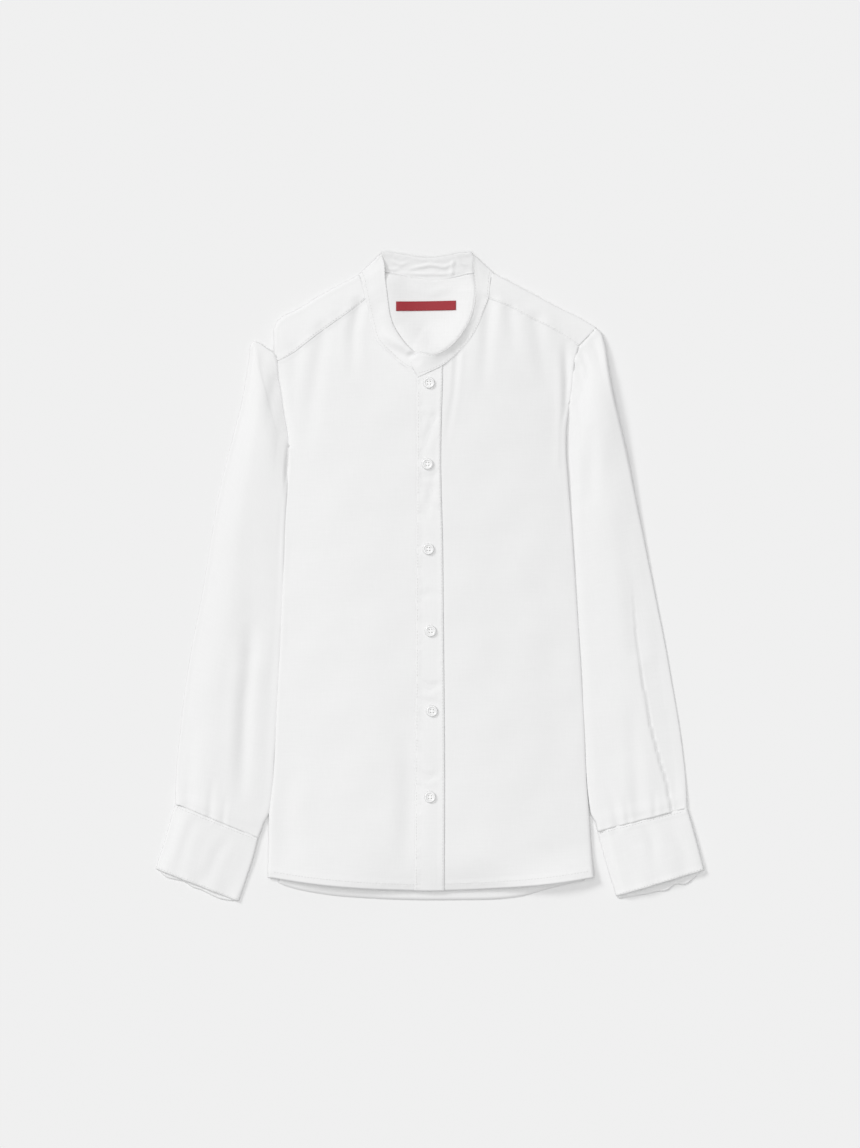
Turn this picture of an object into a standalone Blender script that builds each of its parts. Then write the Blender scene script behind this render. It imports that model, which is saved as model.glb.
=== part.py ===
"""A child's long-sleeved linen shirt with a mandarin collar, buttoned and laid flat on its back.

X runs across the shirt to the wearer's left, Y up towards the collar, Z away from the surface
that it lies on. Every table below is in millimetres. The cloth is drawn by its outer side, and a
Solidify modifier gives it its wall on the inside.
"""
import math
from collections import namedtuple

import bmesh
import bpy

MM = 0.001

# Cloth and seams
WALL = 1.2            # thickness of the cloth walls
SEAM_GAP = 0.4        # clear space between two pieces at a seam
SLEEVE_GAP = 0.6      # the same at the armholes, where the sleeve turns away from the body
LAP = 1.6             # how far the right front lies below the left one under the placket
LAP_START_X = -12.0   # where the right front leaves the placket
LAP_FADE = 58.0       # distance from there over which the right front comes up again
LAP_PAST = 3.0        # how far the right front's lap columns run past the placket's free edge
LAY_GAP = 0.3         # clear space between a piece and the panel that it lies on
LOW_BAND = 0.9        # how far the collar's under lap lies below the right front's own level

# Loft of the laid body
FOLD_HIGH = 9.0       # height of the folded side and shoulder edges
FOLD_HIGH_HEM = 7.6   # the same at the hem
CROWN_CHEST = 5.5     # how far the front rises above its side folds at the chest
CROWN_HEM = 2.0       # the same at the hem
SIDE_SLOPE = 65.0     # distance from a side fold to the full crown
SHOULDER_SLOPE = 50.0 # distance from a shoulder fold to the full crown
TROUGH_FADE = 20.0    # distance from a side fold over which the front's troughs fade
HEM_Y = -283.0        # front hem at the middle
HEM_RISE = 12.5       # how much higher the front hem is at the side seams
BACK_HEM_Y = -292.0   # back hem at the middle
BACK_HEM_RISE = 20.2  # how much higher the back hem is at the side seams
HALF_HEM = 147.5      # half the width at the hem
CHEST_Y = 150.0       # level of full loft
HEM_LEVEL = -270.0    # level of least loft
BACK_SEAM_Y = 171.0   # yoke seam on the back
SIDE_SEAM_IN = 14.0   # the side seams lie underneath, this far in from the side folds
SLEEVE_SEAM_IN = 3.0  # the same for a sleeve's under side, from the flat end of its folds
SLEEVE_FOLD_OUT = 3.0 # how far a sleeve's folds bow out past the flat cloth

# Buttons
BUTTON_ACROSS = 10.2
BUTTON_THICK = 2.2
BUTTON_PROFILE = [    # share of the radius and of the thickness, from the middle of the back
    (0.0, 0.0), (0.86, 0.0), (1.0, 0.4), (0.94, 1.0), (0.74, 1.0), (0.6, 0.72), (0.0, 0.72),
]
BUTTON_STEPS = 20

Side = namedtuple("Side", "y x")
Point = namedtuple("Point", "x y")
YokeRay = namedtuple("YokeRay", "fold_x fold_y seam_x seam_y back_x")
Band = namedtuple("Band", "layer x y edge_x edge_y rise roll")
Station = namedtuple("Station", "outer_x outer_y inner_x inner_y edge crown")
Crease = namedtuple("Crease", "x y end_x end_y wide deep")
SleeveCrease = namedtuple("SleeveCrease", "start across end end_across wide deep")
Cuff = namedtuple("Cuff", "outer_x outer_y inner_x inner_y edge crown")
FrontCut = namedtuple("FrontCut", "top lap_columns side underarm armhole arm_points")

# The body's right and left outline below the arms, from the hem up, then along the armhole.
LEFT_SIDE = [
    Side(-271.0, 148.4), Side(-252.0, 146.3), Side(-217.0, 144.0), Side(-185.0, 141.4),
    Side(-140.0, 139.5), Side(-95.0, 137.2), Side(-50.0, 134.4), Side(-12.0, 132.0),
    Side(24.0, 129.6), Side(54.0, 127.4), Side(85.0, 124.9), Side(114.0, 122.8),
    Side(132.0, 123.0), Side(155.7, 126.0), Side(171.0, 128.3), Side(195.3, 130.5),
    Side(207.9, 134.1), Side(225.0, 150.3),
]
RIGHT_SIDE = [
    Side(-271.0, -146.4), Side(-243.0, -145.9), Side(-214.0, -145.4), Side(-192.0, -142.6),
    Side(-117.0, -138.4), Side(-21.0, -133.6), Side(67.0, -131.2), Side(117.0, -127.8),
    Side(149.4, -132.3), Side(171.0, -135.0), Side(194.4, -138.2), Side(231.0, -140.4),
]
UNDERARM_LEFT = Point(126.0, 155.7)
UNDERARM_RIGHT = Point(-127.8, 117.0)

# Armhole seams as they lie, from the shoulder tip down to the underarm.
ARMHOLE_LEFT = [
    Point(139.5, 213.6), Point(134.1, 207.9), Point(132.3, 201.6), Point(130.5, 195.3),
    Point(129.8, 187.0), Point(129.1, 179.0), Point(128.3, 171.0), Point(127.6, 164.5),
]
ARMHOLE_RIGHT = [
    Point(-138.2, 194.4), Point(-137.2, 185.0), Point(-136.2, 178.0), Point(-135.0, 171.0),
    Point(-133.6, 160.0), Point(-132.3, 149.4), Point(-130.6, 139.0), Point(-129.1, 129.6),
]
TIP_LEFT = Point(150.3, 225.0)
TIP_RIGHT = Point(-140.4, 201.2)

# Shoulder folds, for the slope of the cloth below them.
NECK_LEFT = Point(56.7, 274.5)
NECK_RIGHT = Point(-63.9, 272.7)
SHOULDER_END_RIGHT = Point(-140.4, 231.3)

# Top edges of the fronts: along the neck seam first, then along the yoke seam to the armhole.
LEFT_TOP = [
    Point(-11.7, 180.0), Point(0.0, 185.4), Point(11.7, 191.3), Point(24.3, 202.1),
    Point(36.0, 215.1), Point(42.6, 226.8), Point(47.7, 240.3), Point(51.8, 251.1),
    Point(64.0, 246.7), Point(78.0, 240.3), Point(92.0, 232.5), Point(106.0, 226.0),
    Point(120.0, 217.5), Point(134.1, 207.9),
]
RIGHT_TOP = [
    Point(9.9, 189.9), Point(0.0, 185.2), Point(-9.0, 184.6), Point(-18.0, 187.2),
    Point(-28.8, 194.4), Point(-36.0, 201.6), Point(-42.3, 207.0), Point(-48.6, 214.5),
    Point(-52.2, 228.6), Point(-55.8, 244.8), Point(-57.6, 251.1), Point(-67.5, 243.0),
    Point(-81.0, 233.1), Point(-96.3, 222.3), Point(-108.0, 213.3), Point(-119.7, 204.3),
    Point(-129.0, 198.6), Point(-138.2, 194.4),
]
PLACKET_EDGE = [Side(-283.0, -14.4), Side(180.0, -11.7)]
PLACKET_FOLD = [
    Side(-283.0, 13.2), Side(-160.0, 13.4), Side(-50.0, 12.4), Side(25.0, 11.7),
    Side(110.0, 9.9), Side(150.0, 10.6), Side(191.3, 11.7),
]

# The yoke from its back seam, over the shoulder fold, to its front seam.
YOKE_LEFT = [
    YokeRay(56.7, 274.5, 51.8, 251.1, 50.0), YokeRay(70.0, 267.8, 64.0, 246.7, 62.0),
    YokeRay(86.0, 259.2, 78.0, 240.3, 75.0), YokeRay(102.0, 250.7, 92.0, 232.5, 88.0),
    YokeRay(119.0, 241.8, 106.0, 226.0, 101.0), YokeRay(135.0, 234.0, 120.0, 217.5, 114.0),
    YokeRay(150.3, 225.0, 134.1, 207.9, 128.3),
]
YOKE_RIGHT = [
    YokeRay(-63.9, 272.7, -57.6, 251.1, -58.0), YokeRay(-80.0, 264.6, -67.5, 243.0, -68.0),
    YokeRay(-100.0, 253.6, -81.0, 233.1, -80.0), YokeRay(-119.0, 241.8, -96.3, 222.3, -92.0),
    YokeRay(-133.0, 234.8, -108.0, 213.3, -104.0), YokeRay(-140.0, 226.0, -119.7, 204.3, -115.0),
    YokeRay(-140.9, 212.0, -129.0, 198.6, -125.0), YokeRay(-140.4, 201.2, -138.2, 194.4, -135.0),
]
BACK_NECK = [
    Point(46.8, 273.2), Point(37.8, 274.5), Point(22.5, 271.4), Point(4.5, 268.2),
    Point(-13.5, 270.5), Point(-27.0, 272.9), Point(-41.9, 275.4), Point(-54.0, 273.6),
]
BACK_NECK_FEET = [42.0, 32.0, 19.0, 4.0, -12.0, -25.0, -38.0, -49.0]

# The collar band, a strip from the left front's lap round the back neck to the right front's lap.
# Each row joins a point of the neck seam to a point of the free edge. The layer is the panel that
# the seam is on; rise is how far the free edge stands above the seam, roll how far it bows out.
COLLAR = [
    Band("lap", -11.3, 180.5, -8.1, 202.5, 5.0, 2.0),
    Band("lap", 0.0, 185.8, 2.0, 199.6, 11.0, 4.0),
    Band("lap", 11.7, 191.8, 11.6, 202.6, 13.0, 5.0),
    Band("top", 24.0, 202.5, 20.4, 209.0, 14.0, 6.0),
    Band("top", 35.5, 215.4, 29.2, 219.6, 14.0, 6.0),
    Band("top", 42.1, 227.0, 35.2, 230.2, 13.5, 5.5),
    Band("top", 47.2, 240.5, 39.2, 242.4, 12.5, 5.0),
    Band("top", 51.4, 251.1, 40.6, 252.6, 11.5, 4.5),
    Band("top", 52.8, 261.0, 40.4, 265.0, 9.5, 3.5),
    Band("top", 54.3, 270.9, 38.9, 281.5, 3.0, 2.0),
    Band("fold", 56.3, 275.1, 36.6, 293.4, -1.0, 0.0),
    Band("under", 53.8, 271.8, 33.4, 292.6, 0.0, 0.0),
    Band("under", 46.8, 273.6, 28.8, 292.6, 0.0, 0.0),
    Band("under", 37.8, 274.9, 23.4, 291.6, 0.0, 0.0),
    Band("under", 22.5, 271.8, 13.5, 289.6, 0.0, 0.0),
    Band("under", 4.5, 268.6, 0.0, 288.2, 0.0, 0.0),
    Band("under", -13.5, 270.9, -13.5, 289.2, 0.0, 0.0),
    Band("under", -27.0, 273.3, -24.6, 291.0, 0.0, 0.0),
    Band("under", -41.9, 275.8, -33.6, 292.4, 0.0, 0.0),
    Band("under", -54.0, 274.0, -38.4, 293.0, 0.0, 0.0),
    Band("under", -60.9, 270.2, -41.4, 292.6, 0.0, 0.0),
    Band("fold", -63.5, 273.4, -43.6, 292.4, -1.0, 0.0),
    Band("top", -61.4, 269.2, -41.4, 283.6, 2.0, 1.5),
    Band("top", -59.3, 260.0, -40.4, 270.0, 4.0, 3.0),
    Band("top", -57.1, 251.1, -38.8, 258.4, 5.5, 3.5),
    Band("top", -55.3, 244.8, -37.4, 247.4, 6.5, 4.0),
    Band("top", -51.7, 228.6, -35.2, 234.4, 7.5, 4.0),
    Band("top", -48.1, 214.7, -31.6, 225.0, 8.5, 4.0),
    Band("top", -41.9, 207.4, -26.8, 217.2, 9.5, 4.0),
    Band("top", -35.6, 202.0, -22.4, 211.4, 10.0, 4.0),
    Band("top", -28.4, 194.9, -16.8, 205.4, 9.5, 4.0),
    Band("low", -17.6, 188.2, -9.2, 200.6, 7.0, 3.0),
    Band("low", -9.0, 187.0, -3.2, 199.0, 8.0, 3.0),
    Band("low", 0.0, 188.0, 3.2, 199.2, 9.0, 3.0),
    Band("low", 9.3, 192.4, 9.8, 202.0, 10.0, 3.0),
]

# Sleeves, from the armhole seam to the cuff seam.
SLEEVE_LEFT = [
    Station(150.3, 225.0, 127.1, 155.7, 9.0, 0.0), Station(153.9, 221.4, 127.2, 153.0, 9.0, 1.0),
    Station(157.6, 211.5, 127.6, 147.6, 9.4, 2.0), Station(161.1, 190.0, 127.8, 137.7, 10.0, 3.0),
    Station(165.6, 164.7, 127.8, 123.3, 10.0, 3.5), Station(171.0, 141.3, 127.9, 107.1, 9.6, 3.4),
    Station(177.3, 114.3, 128.5, 87.3, 9.0, 3.0), Station(186.3, 69.3, 129.6, 51.3, 8.4, 2.8),
    Station(195.3, 24.3, 131.8, 10.8, 8.0, 2.6), Station(204.3, -20.7, 134.6, -29.7, 7.8, 2.6),
    Station(212.4, -61.2, 137.7, -70.2, 7.6, 2.6), Station(218.7, -97.2, 139.8, -108.0, 7.6, 2.4),
    Station(224.6, -131.4, 141.8, -144.0, 7.6, 2.4), Station(228.6, -160.2, 143.6, -175.5, 7.6, 2.2),
    Station(231.3, -187.2, 146.7, -205.2, 7.6, 2.0), Station(232.2, -209.3, 151.2, -229.6, 7.6, 1.6),
]
SLEEVE_RIGHT = [
    Station(-140.4, 201.2, -128.6, 117.0, 9.0, 0.0), Station(-145.8, 205.6, -128.9, 114.8, 8.8, 0.6),
    Station(-152.1, 210.2, -129.2, 112.1, 8.8, 1.2), Station(-158.4, 212.8, -129.6, 108.9, 9.0, 1.6),
    Station(-161.8, 208.8, -130.2, 104.4, 9.2, 2.0), Station(-163.1, 198.0, -130.9, 98.1, 9.4, 2.4),
    Station(-166.1, 179.1, -131.5, 87.3, 9.6, 2.8), Station(-170.1, 156.6, -132.0, 72.9, 9.4, 3.0),
    Station(-176.4, 132.3, -132.6, 55.8, 9.0, 3.0), Station(-183.6, 104.4, -133.2, 33.3, 8.6, 2.8),
    Station(-190.4, 75.6, -133.7, 10.8, 8.4, 2.8), Station(-196.2, 42.3, -134.3, -11.7, 8.0, 2.6),
    Station(-201.6, 9.0, -135.7, -36.9, 7.8, 2.6), Station(-207.5, -25.2, -137.5, -65.7, 7.6, 2.6),
    Station(-215.1, -63.9, -139.0, -95.4, 7.6, 2.6), Station(-221.0, -101.7, -140.7, -128.7, 7.6, 2.4),
    Station(-225.5, -139.5, -142.8, -162.0, 7.6, 2.4), Station(-229.1, -178.2, -145.4, -198.0, 7.6, 2.2),
    Station(-229.6, -194.0, -148.0, -216.0, 7.6, 1.8), Station(-229.5, -205.7, -154.8, -235.8, 7.6, 1.6),
]

# Cuffs, from the sleeve seam to the open end. The cloth next to the surface reaches further, by
# these amounts from the outer fold to the inner one.
CUFF_LEFT = [
    Cuff(232.5, -210.3, 151.4, -230.8, 7.6, 1.6), Cuff(235.6, -220.0, 154.9, -243.0, 7.8, 1.6),
    Cuff(240.4, -237.2, 160.6, -263.4, 8.0, 1.6), Cuff(247.5, -264.6, 168.3, -288.0, 8.4, 1.6),
]
CUFF_RIGHT = [
    Cuff(-229.8, -206.8, -155.1, -236.9, 7.6, 1.6), Cuff(-233.6, -218.0, -158.6, -250.0, 7.8, 1.6),
    Cuff(-239.2, -238.0, -165.0, -270.0, 8.0, 1.6), Cuff(-247.5, -263.7, -172.8, -292.8, 8.4, 1.6),
]
CUFF_LEFT_UNDER = [0.4, 5.0, 8.0, 5.5, 8.5, 7.0, 6.6, 5.5, 4.4, 3.2]
CUFF_RIGHT_UNDER = [0.4, 3.6, 2.8, 1.6, 3.4, 3.0, 3.6, 4.2, 3.0, 0.6]

# The largest folds of the fronts and sleeves.
FRONT_FOLDS = [
    Crease(-64.0, 243.0, -69.0, 170.0, 9.0, 1.8), Crease(-95.0, 222.0, -111.0, 112.0, 11.0, 1.6),
    Crease(54.0, 247.0, 48.0, 160.0, 8.0, 1.6), Crease(96.0, 229.0, 107.0, 160.0, 9.0, 1.2),
    Crease(123.0, 213.0, 121.0, 140.0, 8.0, 1.6), Crease(-22.0, -140.0, -22.0, -262.0, 11.0, 1.0),
]
LEFT_SLEEVE_FOLDS = [
    SleeveCrease(6.0, 0.36, 15.0, 0.18, 7.0, 1.8), SleeveCrease(9.5, 0.56, 15.0, 0.50, 8.0, 1.2),
    SleeveCrease(3.0, 0.72, 8.0, 0.76, 8.0, 1.4),
]
RIGHT_SLEEVE_FOLDS = [
    SleeveCrease(9.0, 0.66, 18.0, 0.52, 8.0, 1.8), SleeveCrease(14.0, 0.16, 19.0, 0.20, 7.0, 1.0),
]

LABEL_CORNERS = [
    Point(-30.6, 239.9), Point(23.4, 240.8), Point(23.4, 249.4), Point(-30.6, 248.5),
]
LABEL_THICK = 1.0
BUTTONS = [
    Point(-0.9, 174.6), Point(-2.3, 101.7), Point(-1.4, 25.2),
    Point(0.5, -48.6), Point(1.8, -120.6), Point(0.0, -198.0),
]

LOWER_ROWS = 14           # rows of a front between the hem and the underarm
FOLD_TURNS = [-90, -45, 0, 45, 90]  # degrees round a fold, from below to the top
SIDE_TURNS = [55, 20, -20, -55, -90]  # the same round the side folds, from the top down
BAND_ROWS = 4
HEAD_STATIONS = 5         # stations over which the sleeve's curved head straightens


def between(start, end, share):
    return start + (end - start) * share


def at_level(rows, y):
    """x of an outline at the level y, on straight lines between its rows."""
    y = min(max(y, rows[0].y), rows[-1].y)
    for low, high in zip(rows, rows[1:]):
        if y <= high.y:
            return between(low.x, high.x, (y - low.y) / (high.y - low.y))
    return rows[-1].x


def eased(share):
    """Rises from 0 to 1 and levels off, as cloth does away from a fold."""
    return math.sin(0.5 * math.pi * min(max(share, 0.0), 1.0))


def below_line(x, y, start, end):
    """Distance of a point below the line from start to end."""
    along_x, along_y = end.x - start.x, end.y - start.y
    length = math.hypot(along_x, along_y)
    cross = along_x * (y - start.y) - along_y * (x - start.x)
    return abs(cross) / length if cross * along_x < 0 else 0.0


def trough(offset, wide, deep, share):
    """Depth of a soft trough at an offset from its line, fading out at the line's two ends."""
    if not 0.0 <= share <= 1.0:
        return 0.0
    return deep * math.exp(-((offset / wide) ** 2)) * math.sin(math.pi * share) ** 0.5


def front_trough(x, y):
    depth = 0.0
    for fold in FRONT_FOLDS:
        along_x, along_y = fold.end_x - fold.x, fold.end_y - fold.y
        length = math.hypot(along_x, along_y)
        share = ((x - fold.x) * along_x + (y - fold.y) * along_y) / length**2
        offset = ((x - fold.x) * along_y - (y - fold.y) * along_x) / length
        depth += trough(offset, fold.wide, fold.deep, share)
    return depth


def top_height(x, y):
    """Height of the body's upper side: highest at the chest, falling to the side and shoulder folds."""
    level = min(max((y - HEM_LEVEL) / (CHEST_Y - HEM_LEVEL), 0.0), 1.0)
    fold_high = between(FOLD_HIGH_HEM, FOLD_HIGH, level)
    crown = between(CROWN_HEM, CROWN_CHEST, level)
    from_side = min(at_level(LEFT_SIDE, y) - x, x - at_level(RIGHT_SIDE, y))
    if x > 0:
        from_shoulder = below_line(x, y, NECK_LEFT, TIP_LEFT)
    else:
        from_shoulder = below_line(x, y, SHOULDER_END_RIGHT, NECK_RIGHT)
    slope = eased(from_side / SIDE_SLOPE) * eased(from_shoulder / SHOULDER_SLOPE)
    return fold_high + crown * slope - front_trough(x, y) * eased(from_side / TROUGH_FADE)


def lap_drop(x):
    """How far the right front lies below the common surface: fully under the placket, then less."""
    return LAP * (1 - eased((LAP_START_X - x) / LAP_FADE))


def on_top(x, y, sign):
    return x, y, top_height(x, y) - (lap_drop(x) if sign < 0 else 0.0)


def hem_level(x, middle, rise, power):
    return middle + rise * min(abs(x) / HALF_HEM, 1.0) ** power


def material(name, colour, roughness):
    made = bpy.data.materials.new(name)
    made.use_nodes = True
    shader = made.node_tree.nodes["Principled BSDF"]
    shader.inputs["Base Color"].default_value = (*colour, 1.0)
    shader.inputs["Roughness"].default_value = roughness
    shader.inputs["Metallic"].default_value = 0.0
    return made


def add_grid(bm, columns, rows, place):
    """A grid of columns x rows points, each moved to place(column, row)."""
    grid = bmesh.ops.create_grid(bm, x_segments=columns - 1, y_segments=rows - 1, size=0.5)
    for vertex in grid["verts"]:
        column = round((vertex.co.x + 0.5) * (columns - 1))
        row = round((vertex.co.y + 0.5) * (rows - 1))
        vertex.co = [MM * value for value in place(column, row)]


def finish(bm, name, cloth, wall=0.0):
    """Welds the grids into one mesh and gives it a wall under its outer side."""
    bmesh.ops.remove_doubles(bm, verts=bm.verts, dist=0.00002)
    mesh = bpy.data.meshes.new(name)
    bm.to_mesh(mesh)
    bm.free()
    mesh.shade_smooth()
    mesh.set_sharp_from_angle(angle=math.radians(50))
    mesh.materials.append(cloth)
    piece = bpy.data.objects.new(name, mesh)
    bpy.context.scene.collection.objects.link(piece)
    if wall:
        solidify = piece.modifiers.new("Wall", "SOLIDIFY")
        solidify.thickness = wall * MM
        solidify.offset = -1.0
        solidify.use_even_offset = False
    return piece


def front_panel(name, cloth, cut, sign):
    """A front from the hem to the neck and yoke seams, round the side fold to the side seam.

    The cut's first lap_columns run under or along the placket, and the rest spread out evenly to
    the side. sign is 1 on the wearer's left and -1 on the right.
    """
    top, lap_columns, side, underarm, armhole, arm_points = cut
    arm_rows = [armhole[index].y for index in arm_points]
    columns = len(top)
    radius = FOLD_HIGH / 2
    seam = [Side(point.y, point.x) for point in reversed(armhole)]

    def lap_x(column, y):
        share = column / (lap_columns - 1)
        first, last = at_level(PLACKET_EDGE, y), at_level(PLACKET_FOLD, y)
        if sign > 0:
            return between(first, last, share)
        return between(last - LAY_GAP, first - LAP_PAST, share)

    def panel_x(column, y):
        if column < lap_columns:
            return lap_x(column, y)
        share = (column - lap_columns + 1) / (columns - lap_columns)
        edge = at_level(side, y) - sign * radius
        return between(lap_x(lap_columns - 1, y), edge, share)

    def lower(column, row):
        flat_column = min(column, columns - 1)
        hem = hem_level(panel_x(flat_column, HEM_Y), HEM_Y, HEM_RISE, 2)
        y = between(hem, underarm.y, row / LOWER_ROWS)
        x = panel_x(flat_column, y)
        x, y, z = on_top(x, y, sign)
        if column < columns:
            return x, y, z
        if row == LOWER_ROWS:
            y -= SEAM_GAP
        if column - columns == len(SIDE_TURNS):
            return x - sign * (SIDE_SEAM_IN - radius), y, 0.0
        turn = math.radians(SIDE_TURNS[column - columns])
        return x + sign * radius * math.cos(turn), y, z / 2 * (1 + math.sin(turn))

    def upper(column, row):
        start = Point(panel_x(column, underarm.y), underarm.y)
        end = top[column]
        last_row = row == len(arm_rows)
        if column == columns - 1 and row:
            y = arm_rows[row - 1]
            x = at_level(seam, y) - sign * SEAM_GAP / 2
            return on_top(x, y - (SEAM_GAP / 2 if last_row else 0.0), sign)
        share = row / len(arm_rows)
        x = between(start.x, end.x, share)
        return on_top(x, between(start.y, end.y - SEAM_GAP / 2, share), sign)

    bm = bmesh.new()
    add_grid(bm, columns + len(SIDE_TURNS) + 1, LOWER_ROWS + 1, lower)
    add_grid(bm, columns, len(arm_rows) + 1, upper)
    if sign < 0:
        bmesh.ops.reverse_faces(bm, faces=bm.faces)
    return finish(bm, name, cloth, WALL)


def placket(cloth):
    """The strip over the left front's edge: that front's own first columns, moved out."""
    lift = WALL + LAY_GAP
    columns = 3
    top_rows = 5

    def place(column, row):
        end = LEFT_TOP[column]
        share = column / (columns - 1)
        if row <= LOWER_ROWS:
            x_hem = between(at_level(PLACKET_EDGE, HEM_Y), at_level(PLACKET_FOLD, HEM_Y), share)
            hem = hem_level(x_hem, HEM_Y, HEM_RISE, 2)
            y = between(hem, UNDERARM_LEFT.y, row / LOWER_ROWS)
            x = between(at_level(PLACKET_EDGE, y), at_level(PLACKET_FOLD, y), share)
        else:
            up = (row - LOWER_ROWS) / top_rows
            y_chest = UNDERARM_LEFT.y
            x_chest = between(at_level(PLACKET_EDGE, y_chest), at_level(PLACKET_FOLD, y_chest), share)
            x = between(x_chest, end.x, up)
            y = between(UNDERARM_LEFT.y, end.y - SEAM_GAP / 2, up)
        return x, y, top_height(x, y) + lift

    bm = bmesh.new()
    add_grid(bm, columns, LOWER_ROWS + top_rows + 1, place)
    return finish(bm, "placket", cloth, WALL)


def back_panel(cloth):
    """The back, flat on the surface between the two side seams, and out to the armholes above them."""
    inner = 8
    seam_in = SIDE_SEAM_IN + SEAM_GAP
    upper_rows = 3

    def underarm_level(x):
        share = (x - UNDERARM_RIGHT.x) / (UNDERARM_LEFT.x - UNDERARM_RIGHT.x)
        return between(UNDERARM_RIGHT.y, UNDERARM_LEFT.y, min(max(share, 0.0), 1.0))

    def level_at(share):
        return underarm_level(between(UNDERARM_RIGHT.x, UNDERARM_LEFT.x, share))

    def across(share, y):
        return between(at_level(RIGHT_SIDE, y) + seam_in, at_level(LEFT_SIDE, y) - seam_in, share)

    def lower(column, row):
        share = column / (inner + 1)
        hem = hem_level(between(-HALF_HEM, HALF_HEM, share), BACK_HEM_Y, BACK_HEM_RISE, 3)
        y = between(hem, level_at(share), row / LOWER_ROWS)
        return across(share, y), y, 0.0

    def upper(column, row):
        share = (column - 1) / (inner + 1)
        up = row / (upper_rows - 1)
        if 0 <= share <= 1:
            level = level_at(share)
            y = between(level, BACK_SEAM_Y - SEAM_GAP / 2, up)
            seam_x = between(ARMHOLE_RIGHT[3].x + seam_in, ARMHOLE_LEFT[6].x - seam_in, share)
            return between(across(share, level), seam_x, up), y, 0.0
        side, underarm = (RIGHT_SIDE, UNDERARM_RIGHT) if share < 0 else (LEFT_SIDE, UNDERARM_LEFT)
        y = between(underarm.y + SEAM_GAP, BACK_SEAM_Y - SEAM_GAP / 2, up)
        inset = SEAM_GAP / 2 if share < 0 else -SEAM_GAP / 2
        return at_level(side, y) + inset, y, 0.0

    bm = bmesh.new()
    add_grid(bm, inner + 2, LOWER_ROWS + 1, lower)
    add_grid(bm, inner + 4, upper_rows, upper)
    bmesh.ops.reverse_faces(bm, faces=bm.faces)
    return finish(bm, "back", cloth, WALL)


def inward(rays, index, armhole_end):
    """Unit direction in from the shoulder fold, square to the fold but for the armhole's column."""
    ray = rays[index]
    if index == len(rays) - 1:
        to_x, to_y = armhole_end.x - ray.fold_x, armhole_end.y - ray.fold_y
    else:
        ahead, behind = rays[index + 1], rays[max(index - 1, 0)]
        to_x, to_y = ahead.fold_y - behind.fold_y, behind.fold_x - ahead.fold_x
        if to_x * (ray.seam_x - ray.fold_x) + to_y * (ray.seam_y - ray.fold_y) < 0:
            to_x, to_y = -to_x, -to_y
    length = math.hypot(to_x, to_y)
    return to_x / length, to_y / length


def yoke(cloth):
    """One piece from the back seam over both shoulder folds, open at the neck."""
    radius = FOLD_HIGH / 2
    foot_y = BACK_SEAM_Y + SEAM_GAP / 2
    under_rows = 4
    top_rows = 3

    def fold_points(rays, index, armhole_end):
        ray = rays[index]
        in_x, in_y = inward(rays, index, armhole_end)
        flat_x, flat_y = ray.fold_x + in_x * radius, ray.fold_y + in_y * radius
        high = top_height(flat_x, flat_y)
        points = []
        for turn in FOLD_TURNS:
            reach = radius * (1 - math.cos(math.radians(turn)))
            x, y = ray.fold_x + in_x * reach, ray.fold_y + in_y * reach
            points.append((x, y, high / 2 * (1 + math.sin(math.radians(turn)))))
        return points

    def wing(rays, armhole_end, sign):
        def place(column, row):
            ray = rays[column]
            points = fold_points(rays, column, armhole_end)
            shift = -sign * SEAM_GAP / 2 if column == len(rays) - 1 else 0.0
            if row < len(points):
                x, y, z = points[row]
                return x + shift, y, z
            share = (row - len(points) + 1) / top_rows
            x, y, _ = points[-1]
            x = between(x, ray.seam_x, share)
            y = between(y, ray.seam_y + SEAM_GAP / 2, share)
            return x + shift, y, top_height(x, y)

        return place

    columns = [("ray", YOKE_RIGHT, index, TIP_RIGHT) for index in range(len(YOKE_RIGHT) - 1, -1, -1)]
    columns += [("neck", BACK_NECK, index, None) for index in range(len(BACK_NECK) - 1, -1, -1)]
    columns += [("ray", YOKE_LEFT, index, TIP_LEFT) for index in range(len(YOKE_LEFT))]
    seam_rows_left = [ARMHOLE_LEFT[6], ARMHOLE_LEFT[3], ARMHOLE_LEFT[1], ARMHOLE_LEFT[0]]
    seam_rows_right = [ARMHOLE_RIGHT[3], ARMHOLE_RIGHT[2], ARMHOLE_RIGHT[1], ARMHOLE_RIGHT[0]]

    def under(column, row):
        kind, rows, index, tip = columns[column]
        if kind == "neck":
            foot, head = BACK_NECK_FEET[index], rows[index]
            share = row / under_rows
            return between(foot, head.x, share), between(foot_y, head.y, share), 0.0
        ray = rows[index]
        last = index == len(rows) - 1
        armhole = ARMHOLE_LEFT if tip is TIP_LEFT else ARMHOLE_RIGHT
        top_x, top_y, top_z = fold_points(rows, index, armhole[0])[0]
        sign = 1 if tip is TIP_LEFT else -1
        if last and row < under_rows:
            seam = seam_rows_left if sign > 0 else seam_rows_right
            y = seam[row].y + (SEAM_GAP / 2 if row == 0 else 0.0)
            return seam[row].x - sign * SEAM_GAP / 2, y, 0.0
        share = row / under_rows
        shift = -sign * SEAM_GAP / 2 if last else 0.0
        x, y = between(ray.back_x, top_x, share), between(foot_y, top_y, share)
        return x + shift, y, top_z * share

    bm = bmesh.new()
    add_grid(bm, len(columns), under_rows + 1, under)
    bmesh.ops.reverse_faces(bm, faces=bm.faces)
    wing_rows = len(FOLD_TURNS) + top_rows
    left_faces = set(bm.faces)
    add_grid(bm, len(YOKE_LEFT), wing_rows, wing(YOKE_LEFT, ARMHOLE_LEFT[0], 1))
    bmesh.ops.reverse_faces(bm, faces=[face for face in bm.faces if face not in left_faces])
    add_grid(bm, len(YOKE_RIGHT), wing_rows, wing(YOKE_RIGHT, ARMHOLE_RIGHT[0], -1))
    return finish(bm, "yoke", cloth, WALL)


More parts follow.
